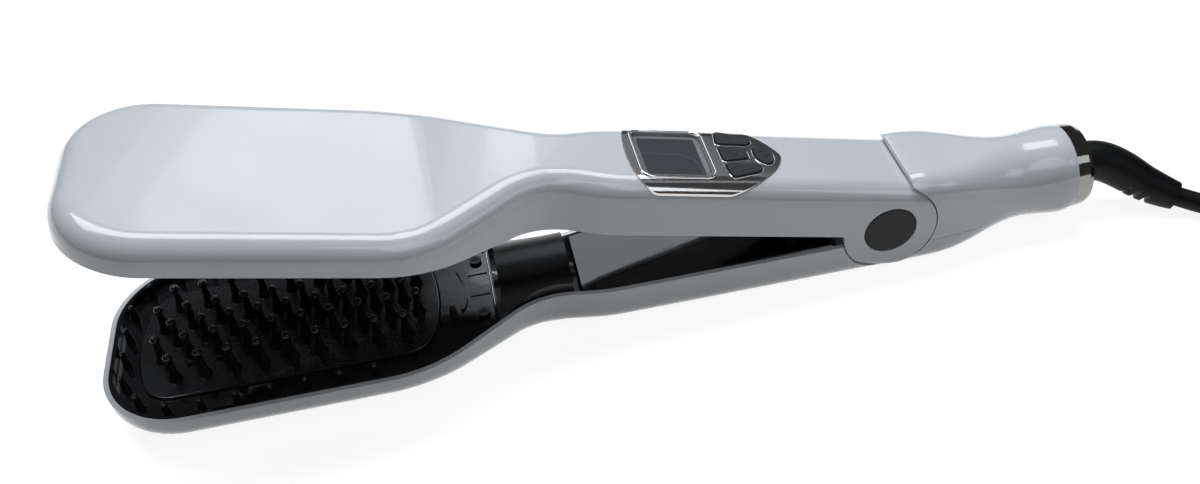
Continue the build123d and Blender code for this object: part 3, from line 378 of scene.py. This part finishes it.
chrome = metal("chrome", (0.80, 0.80, 0.81), 0.05, 0.05)
dark_chrome = metal("dark_chrome", (0.60, 0.58, 0.57), 0.07, 0.06)
steel = metal("steel", (0.52, 0.52, 0.53), 0.25, 0.2)
brass = metal("brass", (0.72, 0.52, 0.22), 0.25, 0.2, dull=0.1)
ring_chrome = metal("ring_chrome", (0.27, 0.265, 0.245), 0.05, 0.06)
black_steel = metal("black_steel", (0.05, 0.05, 0.055), 0.3, 0.15)
cast_alloy = metal("cast_alloy", (0.50, 0.50, 0.50), 0.45, 0.2, (1, 1, 1), 0.15)
print("finishes:", chrome.name, dark_chrome.name, steel.name, brass.name, cast_alloy.name)

# %% [markdown]
# The heated plate has a baked dark coating, smooth but with a little sparkle in it. The mica sheet under
# it is made of pressed flakes, and the circuit board is green lacquer over copper tracks.

# %% Heated plate, mica and circuit board
def make_coated_plate():
    finish = Finish("coated_plate", Metallic=0.2, Coat_Weight=0.2)
    sparkle = finish.cells(2600).step(0.05, 0.5)
    finish.set(
        Base_Color=sparkle.blend((0.05, 0.05, 0.055), (0.014, 0.014, 0.016)),
        Roughness=finish.noise(140, 4) * 0.16 + 0.14,
    )
    finish.bump(finish.noise(1500, 2), 0.00003, 0.5)
    return finish.material


def make_mica_sheet():
    finish = Finish("mica_sheet", Roughness=0.35)
    flakes = finish.cells(700, (1, 1, 0.2))
    finish.set(Base_Color=flakes.step(0.1, 0.8).blend((0.62, 0.54, 0.40), (0.42, 0.34, 0.22)))
    finish.bump(flakes, 0.00008, 0.5)
    return finish.material


def make_circuit_board():
    finish = Finish("circuit_board", Roughness=0.3)
    lines = ((finish.along("Y") * 2600.0).wave() > 0.6) + ((finish.along("X") * 1900.0).wave() > 0.75)
    tracks = lines * (finish.noise(160, 1) > 0.5)
    finish.set(Base_Color=tracks.blend((0.015, 0.10, 0.045), (0.05, 0.24, 0.12)))
    finish.bump(tracks, 0.00004, 0.5)
    return finish.material


coated_plate = make_coated_plate()
mica_sheet = make_mica_sheet()
circuit_board = make_circuit_board()
print("finishes:", coated_plate.name, mica_sheet.name, circuit_board.name)

# %% [markdown]
# The display's window is a thin tinted lens. Alpha keeps it simple: most of the light passes, and the
# shader's own gloss gives the reflections. The display under it is dark grey.

# %% Window and display
def make_tinted_window():
    finish = Finish("tinted_window", Base_Color=(0.10, 0.115, 0.12), IOR=1.49)
    film = finish.noise(70, 3)
    finish.set(Alpha=film * 0.05 + 0.30, Roughness=film.step(0.4, 0.8) * 0.05 + 0.03)
    return finish.material


def make_display_face():
    finish = Finish("display_face", Roughness=0.25)
    cloud = finish.noise(110, 2)
    finish.set(Base_Color=cloud.step(0.2, 0.8).blend((0.055, 0.062, 0.066), (0.075, 0.083, 0.088)))
    return finish.material


tinted_window = make_tinted_window()
display_face = make_display_face()
print("finishes:", tinted_window.name, display_face.name)

# %% [markdown]
# The solid model's own pieces stay where they are and get these finishes by changing the material in
# their slot. Shapes that need more than a finish are made new further down.

# %% Dress the solid pieces
dress = {
    polished_white: ("lower_shell", "upper_shell", "tail_cover"),
    polished_black: ("paddle_deck", "grip_cover", "upper_grip_cover"),
    satin_black: ("upper_liner", "plug_body", "tank_stopper"),
    cap_grey: ("hinge_cap_near", "hinge_cap_far"),
    black_with_painted_bands: ("water_tank",),
    coated_plate: ("heat_pad",),
    chrome: ("plug_pins",),
    ring_chrome: ("end_ring",),
    black_steel: ("deck_screws",),
    dark_chrome: ("display_bezel",),
    steel: ("hinge_pin", "clamp_screws", "cover_screws", "thermal_cutout", "opening_spring"),
    brass: ("hinge_bushes",),
    cast_alloy: ("boiler", "brush_heater"),
    mica_sheet: ("heater_insulation",),
    inner_plastic: ("tank_dock", "pump", "terminal_block", "cord_clamp", "keypad_switches"),
    silicone: ("water_tubes", "steam_tube", "tank_seal"),
    button_rubber: ("button_plus", "button_minus", "button_mode", "button_power"),
    cord_rubber: ("inner_lead", "cord_tie"),
    tinted_window: ("display_window",),
    display_face: ("lcd_module",),
    circuit_board: ("control_board",),
}
for material, nodes in dress.items():
    for node in nodes:
        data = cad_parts[node].data
        data.materials.clear()
        data.materials.append(material)
print("dressed nodes:", sum(len(nodes) for nodes in dress.values()))

# %% [markdown]
# The cord is soft. It gets its rubber finish, belongs to the lower arm and stands for the solid model's cord,
# coil and plug lead, which are hidden.

cord_curve.materials.append(cord_rubber)
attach(mains_cord, "lower_arm")
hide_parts("power_cord", "cord_coil", "plug_lead")

# %% [markdown]
# The boot guards the cord where it leaves the arm. It is a soft tapered sleeve, bent down, with three
# slots cut in its lower side so that it can flex. It is made as rings along a smooth route: the ring's
# radius tapers, and it dips in the slots on the underside only.

# %% Boot
boot_points = [(146.5, 0, 16), (154.5, 0, 16), (162, 0, 16), (169.5, -3.4, 12.6), (176.6, -7.7, 7.6)]
boot_route = route([Vector(p) * mm for p in boot_points] + [boot_end])
boot_inside = 8.0 * mm
boot_radius = 6.5 * mm
boot_end_radius = 4.6 * mm
slot_places = (28.5, 31.7, 34.9)
slot_half = 0.9
slot_depth = 3.0 * mm
slot_steepness = 2.5
tiny = 1e-12


def evenly(line, count):
    """Points at even distances along a line, each with its direction and its distance from the start."""
    runs = [0.0]
    for a, b in zip(line, line[1:]):
        runs.append(runs[-1] + (b - a).length)
    found = []
    for step in range(count):
        want = runs[-1] * step / (count - 1)
        at = max(i for i in range(len(runs) - 1) if runs[i] <= want + tiny)
        span = max(runs[at + 1] - runs[at], tiny)
        spot = line[at].lerp(line[at + 1], (want - runs[at]) / span)
        found.append((spot, (line[at + 1] - line[at]).normalized(), want))
    return found


def skin(mesh, pairs):
    """Faces between each pair of neighbouring loops of points."""
    for first, second in pairs:
        for side in range(len(first)):
            after = (side + 1) % len(first)
            mesh.faces.new((first[side], first[after], second[after], second[side]))


def smooth_data(name, mesh):
    """Mesh data with smooth faces from a bmesh, which is used up."""
    bmesh.ops.recalc_face_normals(mesh, faces=mesh.faces)
    data = bpy.data.meshes.new(name)
    mesh.to_mesh(data)
    mesh.free()
    data.polygons.foreach_set("use_smooth", [True] * len(data.polygons))
    return data


def smooth_object(name, mesh, material):
    """A finished piece from a bmesh."""
    data = smooth_data(name, mesh)
    data.materials.append(material)
    return placed(name, data)


def make_boot(rings=180, sides=48):
    mesh = bmesh.new()
    loops = []
    along = evenly(boot_route, rings)
    length = along[-1][2]
    for spot, ahead, run in along:
        across = ahead.cross(Vector((0, 0, 1))).normalized()
        over = across.cross(ahead)
        share = min(max((run - boot_inside) / (length - boot_inside), 0), 1)
        radius = boot_radius + (boot_end_radius - boot_radius) * share**3
        slot = max(1 - abs(run / mm - place) / slot_half for place in slot_places)
        slot = min(1.0, slot_steepness * max(slot, 0))
        loop = []
        for side in range(sides):
            angle = 2 * pi * side / sides
            # 1 on the underside and 0 above it, with a short change between
            under = min(1.0, 2 * max(0.0, -sin(angle) - 0.05))
            here = radius - slot * under * slot_depth
            loop.append(mesh.verts.new(spot + here * (cos(angle) * across + sin(angle) * over)))
        loops.append(loop)
    skin(mesh, zip(loops, loops[1:]))
    mesh.faces.new(reversed(loops[0]))
    mesh.faces.new(loops[-1])
    return smooth_object("boot", mesh, cord_rubber)


boot = make_boot()
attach(boot, "lower_arm")
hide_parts("strain_relief")
print("boot, faces:", len(boot.data.polygons))

# %% [markdown]
# Bristles repeat, so Geometry Nodes plant them. The tree takes a mesh that is only points, puts one
# bristle on each, and realises the copies. A bristle is a lathe shape: its outline is a list of radii and
# heights, and it is handed to the tree through an Object Info node.

# %% A lathe and a planter
def turned(name, outline, sides):
    """A closed lathe shape round Z from an outline of (radius, height), lowest first, in mm."""
    mesh = bmesh.new()
    angles = [2 * pi * side / sides for side in range(sides)]
    rings = [
        [
            mesh.verts.new((radius * mm * cos(angle), radius * mm * sin(angle), height * mm))
            for angle in (angles if radius else angles[:1])
        ]
        for radius, height in outline
    ]
    for low, high in zip(rings, rings[1:]):
        for side in range(sides):
            after = (side + 1) % sides
            corners = [low[side % len(low)], low[after % len(low)], high[after % len(high)]]
            corners.append(high[side % len(high)])
            mesh.faces.new(list(dict.fromkeys(corners)))
    return smooth_data(name, mesh)


def planter(name):
    """A tree that puts a copy of one shape on every point of a mesh."""
    tree = bpy.data.node_groups.new(name, "GeometryNodeTree")
    inputs = {
        "Geometry": "NodeSocketGeometry", "Shape": "NodeSocketObject", "Finish": "NodeSocketMaterial",
    }
    for label, kind in inputs.items():
        tree.interface.new_socket(label, in_out="INPUT", socket_type=kind)
    tree.interface.new_socket("Geometry", in_out="OUTPUT", socket_type="NodeSocketGeometry")
    entry = tree.nodes.new("NodeGroupInput")
    shape = tree.nodes.new("GeometryNodeObjectInfo")
    planted = tree.nodes.new("GeometryNodeInstanceOnPoints")
    real = tree.nodes.new("GeometryNodeRealizeInstances")
    painted = tree.nodes.new("GeometryNodeSetMaterial")
    leave = tree.nodes.new("NodeGroupOutput")
    for start, end in (
        (entry.outputs["Geometry"], planted.inputs["Points"]),
        (entry.outputs["Shape"], shape.inputs["Object"]),
        (shape.outputs["Geometry"], planted.inputs["Instance"]),
        (planted.outputs["Instances"], real.inputs["Geometry"]),
        (real.outputs["Geometry"], painted.inputs["Geometry"]),
        (entry.outputs["Finish"], painted.inputs["Material"]),
        (painted.outputs["Geometry"], leave.inputs["Geometry"]),
    ):
        tree.links.new(start, end)
    return tree


plant_tree = planter("plant_on_points")


def plant(name, shape, spots, material):
    """A plain mesh object with the shape planted on every spot."""
    stand = bpy.data.objects.new(name + "_shape", shape)
    points = bpy.data.meshes.new(name + "_points")
    points.from_pydata([Vector(s) * mm for s in spots], [], [])
    holder = placed(name + "_holder", points)
    modifier = holder.modifiers.new("plant", "NODES")
    modifier.node_group = plant_tree
    values = {"Shape": stand, "Finish": material}
    for socket in plant_tree.interface.items_tree:
        if socket.in_out == "INPUT" and socket.name in values:
            modifier[socket.identifier] = values[socket.name]
    evaluated = holder.evaluated_get(bpy.context.evaluated_depsgraph_get())
    data = bpy.data.meshes.new_from_object(evaluated)
    data.name = name
    piece = placed(name, data)
    holder.modifiers.remove(modifier)
    bpy.data.objects.remove(holder)
    bpy.data.objects.remove(stand)
    return piece


print("tree:", plant_tree.name, "nodes:", len(plant_tree.nodes))

# %% [markdown]
# There are five rows of bristles on the plate. The two rows beside the middle one stand half a step off
# the others and have one bristle more. Each bristle is a cone that ends in a small ball, which protects the
# scalp.

# %% Bristles
tip_x = -154.5
pad_top = 11.8
deck_top = 11.0
bristle_pitch = 8.6
first_bristle = tip_x + 16.5
bristle_height = 9.8
ball_radius = 1.45
ball_centre = bristle_height - ball_radius
outline = [(0, -0.3), (2.15, -0.3), (2.15, 0.25), (1.95, 0.6), (1.6, 1.6), (1.3, 3.0), (1.1, 4.6), (1.0, 6.0)]
outline.append((1.0, ball_centre - 1.05))
outline += [
    (ball_radius * sin(radians(a)), ball_centre - ball_radius * cos(radians(a))) for a in range(55, 180, 15)
]
outline.append((0, bristle_height))
# each row's place across the head, its shift in steps and its number of bristles
bristle_rows = ((0, 0.5, 9), (15, 0.5, 9), (-15, 0.5, 9), (6.5, 0, 10), (-6.5, 0, 10))
bristle_spots = []
for row, shift, count in bristle_rows:
    for step in range(count):
        bristle_spots.append((first_bristle + bristle_pitch * (step + shift), row, pad_top))
bristle_field = plant("bristle_field", turned("bristle", outline, 20), bristle_spots, bristle_nylon)
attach(bristle_field, "lower_arm")
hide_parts("bristles")
print("bristles:", len(bristle_spots), "faces:", len(bristle_field.data.polygons))

# %% [markdown]
# Short guard pins stand round the edge of the head and keep the skin off the hot plate. They follow the
# head's outline a few millimetres inside it: the end, a round corner and a straight side.

# %% Guard pins
head_corner = 25.0
head_half = 35.0
guarded_length = 92.0
guard_inset = 5.6
guard_pitch = 10.0
guard_radius = head_corner - guard_inset
guard_side = head_half - guard_inset
guard_end = tip_x + guard_inset
end_run = guard_side - guard_radius
corner_run = pi / 2 * guard_radius
side_run = tip_x + guarded_length - (guard_end + guard_radius)
guard_spots = []
for step in range(int((end_run + corner_run + side_run) / guard_pitch)):
    run = (step + 0.5) * guard_pitch
    angle = min(max(run - end_run, 0), corner_run) / guard_radius
    x = guard_end + guard_radius * (1 - cos(angle)) + max(run - end_run - corner_run, 0)
    y = min(run, end_run) + guard_radius * sin(angle)
    guard_spots += [(x, y, deck_top), (x, -y, deck_top)]
dome_radius = 0.8
dome_start = 5.0
outline = [(0, -0.2), (1.35, -0.2), (1.3, 0.2), (1.15, 1.6), (0.95, 3.6), (dome_radius, dome_start)]
outline += [
    (dome_radius * cos(radians(a)), dome_start + dome_radius * sin(radians(a))) for a in (25, 50, 70)
]
outline.append((0, dome_start + dome_radius))
guard_row = plant("guard_row", turned("guard", outline, 16), guard_spots, bristle_nylon)
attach(guard_row, "lower_arm")
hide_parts("guard_pins")
print("guard pins:", len(guard_spots), "faces:", len(guard_row.data.polygons))

# %% [markdown]
# Small raised lines finish the display and the deck: a bright frame round the window, rims round the
# buttons, marks on the buttons, and ribs and a strip on the deck. Each is a bead, a round-backed line
# that follows a path drawn in plan. Every point of the path is dropped on the piece below it, so the bead
# lies on the surface wherever it curves. The upper arm is drawn closed and turned open about the hinge.

# %% Beads laid on a surface
hinge_place = Vector((85.5, 0, 17.5)) * mm
open_turn = radians(14.3)
to_hinge = Matrix.Translation(hinge_place)
opened = to_hinge @ Matrix.Rotation(open_turn, 4, "Y") @ Matrix.Translation(-hinge_place)
as_drawn = Matrix.Identity(4)
above_all = 120
bead_root = 0.15
bead_arc = [(cos(radians(a)), sin(radians(a))) for a in range(0, 181, 30)]


def surface_of(node):
    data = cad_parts[node].data
    return BVHTree.FromPolygons([v.co for v in data.vertices], [tuple(p.vertices) for p in data.polygons])


def dropped(path, surface, turn):
    """The path's points, in mm, dropped on a surface, each with the surface's normal."""
    down = turn.to_3x3() @ Vector((0, 0, -1))
    found = []
    for x, y in path:
        start = turn @ (Vector((x, y, above_all)) * mm)
        spot, normal = surface.ray_cast(start, down)[:2]
        if normal.dot(down) > 0:
            normal = -normal
        found.append((spot, normal))
    return found


def add_bead(mesh, path, surface, turn, bead, closed):
    """A round-backed line along a path; it reaches a little into the surface."""
    width, height = bead
    places = dropped(path, surface, turn)
    count = len(places)
    section = [(u * width / 2, v * height) for u, v in bead_arc]
    section += [(-width / 2, -bead_root), (width / 2, -bead_root)]
    loops = []
    for at, (spot, normal) in enumerate(places):
        after = places[(at + 1) % count if closed else min(at + 1, count - 1)][0]
        before = places[(at - 1) % count if closed else max(at - 1, 0)][0]
        across = (after - before).cross(normal).normalized()
        loops.append([mesh.verts.new(spot + (across * u + normal * v) * mm) for u, v in section])
    skin(mesh, zip(loops, loops[1:]))
    if closed:
        skin(mesh, [(loops[-1], loops[0])])
    else:
        mesh.faces.new(loops[0])
        mesh.faces.new(reversed(loops[-1]))


def spaced(path, step=0.5, closed=False):
    """A plan path with its points at even distances, in mm."""
    line = [Vector((x, y, 0)) for x, y in path] + ([Vector((*path[0], 0))] if closed else [])
    length = sum((b - a).length for a, b in zip(line, line[1:]))
    found = [(spot.x, spot.y) for spot, ahead, run in evenly(line, max(2, int(length / step) + 1))]
    return found[:-1] if closed else found


def arc(x, y, radius, start, end, step=10):
    """Points of an arc round (x, y), with its angles in degrees."""
    count = max(1, round(abs(end - start) / step))
    angles = [radians(start + (end - start) * at / count) for at in range(count + 1)]
    return [(x + radius * cos(a), y + radius * sin(a)) for a in angles]


def beads(name, lines, node, turn, bead, material, body):
    """One piece made of beads on one node. A line is its path and whether it closes, and a bead is its
    width and its height in mm."""
    surface = surface_of(node)
    mesh = bmesh.new()
    for path, closed in lines:
        add_bead(mesh, spaced(path, closed=closed), surface, turn, bead, closed)
    piece = smooth_object(name, mesh, material)
    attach(piece, body)
    print(name, "faces:", len(piece.data.polygons))
    return piece


print("bead section points:", len(bead_arc) + 2)

# %% [markdown]
# The window's frame is a rounded rectangle. The rims follow the buttons' own outlines: the flange under
# each button is a little larger than its opening, so the flange's hull in plan is the rim's path.

# %% Window frame and button rims
bezel_front = tip_x + 156.0
window_half = 10.5
window_inset = 3.6
window_middle = bezel_front + window_inset + window_half
frame_half = window_half + 0.9
frame_corner = 3.2
frame_bead = (1.0, 0.45)
rim_bead = (0.45, 0.22)
flat = frame_half - frame_corner
window_path = []
for corner, (sx, sy) in enumerate(((1, 1), (-1, 1), (-1, -1), (1, -1))):
    window_path += arc(window_middle + sx * flat, sy * flat, frame_corner, 90 * corner, 90 * corner + 90)
window_frame = [(window_path, True)]
beads("window_frame", window_frame, "display_bezel", opened, frame_bead, chrome, "upper_arm")

button_names = ("button_plus", "button_minus", "button_mode", "button_power")
closed_back = opened.inverted()
rims = []
button_middles = {}
for name in button_names:
    plan = [(closed_back @ v.co / mm).to_2d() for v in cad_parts[name].data.vertices]
    hull = [plan[at] for at in convex_hull_2d(plan)]
    button_middles[name] = sum(hull, Vector((0, 0))) / len(hull)
    rims.append(([tuple(p) for p in hull], True))
beads("button_rims", rims, "display_bezel", opened, rim_bead, chrome, "upper_arm")

# %% [markdown]
# The marks on the buttons are printed lines: a plus, a minus, a small ring, and the sign for power. They
# are beads too, but very low, and each rides its own button. A faint bent line lies on the display.

# %% Button marks and display line
mark_bead = (0.45, 0.06)
trace_bead = (0.28, 0.05)
mark_half = 1.4
mode_radius = 1.2
power_radius = 1.5
mark_black = moulded("mark_black", (0.006, 0.006, 0.006), 0.35)
display_line = moulded("display_line", (0.30, 0.31, 0.32), 0.4)


def mark_lines(name):
    """The open lines of a button's mark."""
    x, y = button_middles[name]
    if name == "button_power":
        return [(arc(x, y, power_radius, 35, 325), False), ([(x + 0.3, y), (x + 2.1, y)], False)]
    if name == "button_mode":
        return [(arc(x, y, mode_radius, 0, 350), False)]
    lines = [([(x, y - mark_half), (x, y + mark_half)], False)]
    if name == "button_plus":
        lines.append(([(x - mark_half, y), (x + mark_half, y)], False))
    return lines


for name in button_names:
    mark_name = name.replace("button_", "mark_")
    beads(mark_name, mark_lines(name), name, opened, mark_bead, mark_black, name)
trace_bend = bezel_front + 16.0
trace = [(bezel_front + 5.5, 1.5), (trace_bend, 1.2)] + arc(trace_bend, -4.8, 6.0, 90, 10)
trace.append((bezel_front + 22.3, -9.0))
traces = [(trace, False)]
beads("display_trace", traces, "lcd_module", opened, trace_bead, display_line, "upper_arm")

# %% [markdown]
# Behind the bristles the deck carries two thin ribs, and a bright strip closes it off against the tank.
# A small peg locates the deck. All of them are low and are part of the lower arm.

# %% Deck ribs, strip and peg
rib_start = -44.6
rib_end = -38.0
rib_bead = (0.55, 0.3)
strip_x = -37.6
strip_half = 12.5
strip_bead = (0.5, 0.3)
ribs = [([(rib_start, y), (rib_end, y)], False) for y in (6.0, -3.5)]
beads("deck_ribs", ribs, "paddle_deck", as_drawn, rib_bead, satin_black, "lower_arm")
strip = [([(strip_x, -strip_half), (strip_x, strip_half)], False)]
beads("deck_strip", strip, "paddle_deck", as_drawn, strip_bead, chrome, "lower_arm")
outline = [(0, -0.2), (1.3, -0.2), (1.2, 0.4), (1.0, 3.2), (0.7, 4.1), (0, 4.4)]
peg_spot = (-50.5, -10.7, deck_top)
deck_peg = plant("deck_peg", turned("peg", outline, 20), [peg_spot], satin_black)
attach(deck_peg, "lower_arm")
print("deck peg, faces:", len(deck_peg.data.polygons))

# %% [markdown]
# The brush lies on a pale sweep in soft studio light. For the camera the sweep is white, and it still
# keeps the shadow: its shader adds a glow that brings a lit place up to white and leaves a shaded one
# below it. The glow is only for rays that see the floor straight, in a mirror or through glass. The sky is
# dim as a light and plain white to the camera.

# %% Floor and world
floor_half = 4
floor_low = -0.0002
floor_glow = 0.87
sky_strength = 0.07
floor_corners = [
    (x * floor_half, y * floor_half, floor_low) for x, y in ((-1, -1), (1, -1), (1, 1), (-1, 1))
]
floor_data = bpy.data.meshes.new("floor")
floor_data.from_pydata(floor_corners, [], [(0, 1, 2, 3)])
floor = placed("floor", floor_data)


def make_sweep():
    finish = Finish("pale_sweep", Base_Color=(0.42, 0.42, 0.42), Roughness=0.9)
    glow = finish.node("ShaderNodeLightPath", output="Is Camera Ray")
    for ray in ("Is Glossy Ray", "Is Transmission Ray"):
        glow = glow.maths("MAXIMUM", glow, finish.node("ShaderNodeLightPath", output=ray))
    emission = finish.node("ShaderNodeEmission", {}, {"Strength": glow * floor_glow})
    total = finish.node("ShaderNodeAddShader")
    adder = total.socket.node
    finish.tree.links.new(finish.shader.outputs[0], adder.inputs[0])
    finish.fill(adder.inputs[1], emission)
    finish.fill(finish.tree.nodes["Material Output"].inputs["Surface"], total)
    return finish.material


floor_data.materials.append(make_sweep())
world = bpy.data.worlds.new("studio")
bpy.context.scene.world = world
world.use_nodes = True
sky_tree = world.node_tree
sky = sky_tree.nodes["Background"]
sky.inputs["Color"].default_value = (0.96, 0.98, 1.0, 1)
sky.inputs["Strength"].default_value = sky_strength
white_sky = sky_tree.nodes.new("ShaderNodeBackground")
white_sky.inputs["Color"].default_value = (1, 1, 1, 1)
ray_kind = sky_tree.nodes.new("ShaderNodeLightPath")
choose = sky_tree.nodes.new("ShaderNodeMixShader")
sky_tree.links.new(ray_kind.outputs["Is Camera Ray"], choose.inputs[0])
sky_tree.links.new(sky.outputs[0], choose.inputs[1])
sky_tree.links.new(white_sky.outputs[0], choose.inputs[2])
sky_tree.links.new(choose.outputs[0], sky_tree.nodes["World Output"].inputs["Surface"])
print("floor glow:", floor_glow, "sky strength:", sky_strength)

# %% [markdown]
# Glossy plastic shows its lamps, so the lamps are soft boxes. The long one over the far side lights the
# tops. The smaller pair behind it reads as a window in the gloss. A narrow strip draws a line along the
# near rim. Three weak boxes are there for the chrome: the far one gives the display's frame its grey, and
# the near ones draw the bright streaks along the frame and round the ring at the tail.

# %% Lamps
lamp_colour = (0.89, 0.95, 1.0)
window_turn = radians(-16)


def soft_box(name, place, target, width, height, power, turn=0.0):
    """An area lamp at a place, turned to a target. Lengths are in metres and the power is in watts."""
    data = bpy.data.lights.new(name, "AREA")
    data.shape = "RECTANGLE"
    data.size = width
    data.size_y = height
    data.energy = power
    data.color = lamp_colour
    lamp = placed(name, data)
    facing = (Vector(target) - Vector(place)).to_track_quat("-Z", "Y").to_matrix().to_4x4()
    lamp.matrix_world = Matrix.Translation(place) @ facing @ Matrix.Rotation(turn, 4, "Z")
    return lamp


# name, place, target, width, height, power and turn
lamps = [
    soft_box("over", (0.0, 0.42, 1.15), (0, 0, 0), 1.4, 0.5, 11.6),
    soft_box("window", (0.17, 1.05, 0.80), (-0.05, 0, 0.05), 0.36, 0.42, 0.65, window_turn),
    soft_box("window_edge", (0.17, 1.06, 0.80), (-0.05, 0, 0.05), 0.46, 0.52, 0.6, window_turn),
    soft_box("far_panel", (0.72, 1.06, 0.92), (0.03, 0, 0.06), 0.56, 0.5, 0.18),
    soft_box("near_strip", (0.35, -0.30, 0.95), (0, 0, 0.03), 1.3, 0.10, 0.12),
    soft_box("near_display", (0.42, -0.60, 0.88), (0.02, 0, 0.06), 0.32, 0.54, 0.82),
    soft_box("near_tail", (1.0, -0.75, 0.80), (0.18, 0, 0.02), 0.35, 0.34, 0.6),
]
print("lamps:", [lamp.name for lamp in lamps])

# %% [markdown]
# The plain view transform shows the colours as they were set.

# %% Colour
bpy.context.scene.view_settings.view_transform = "Standard"
bpy.context.view_layer.update()

# %% [markdown]
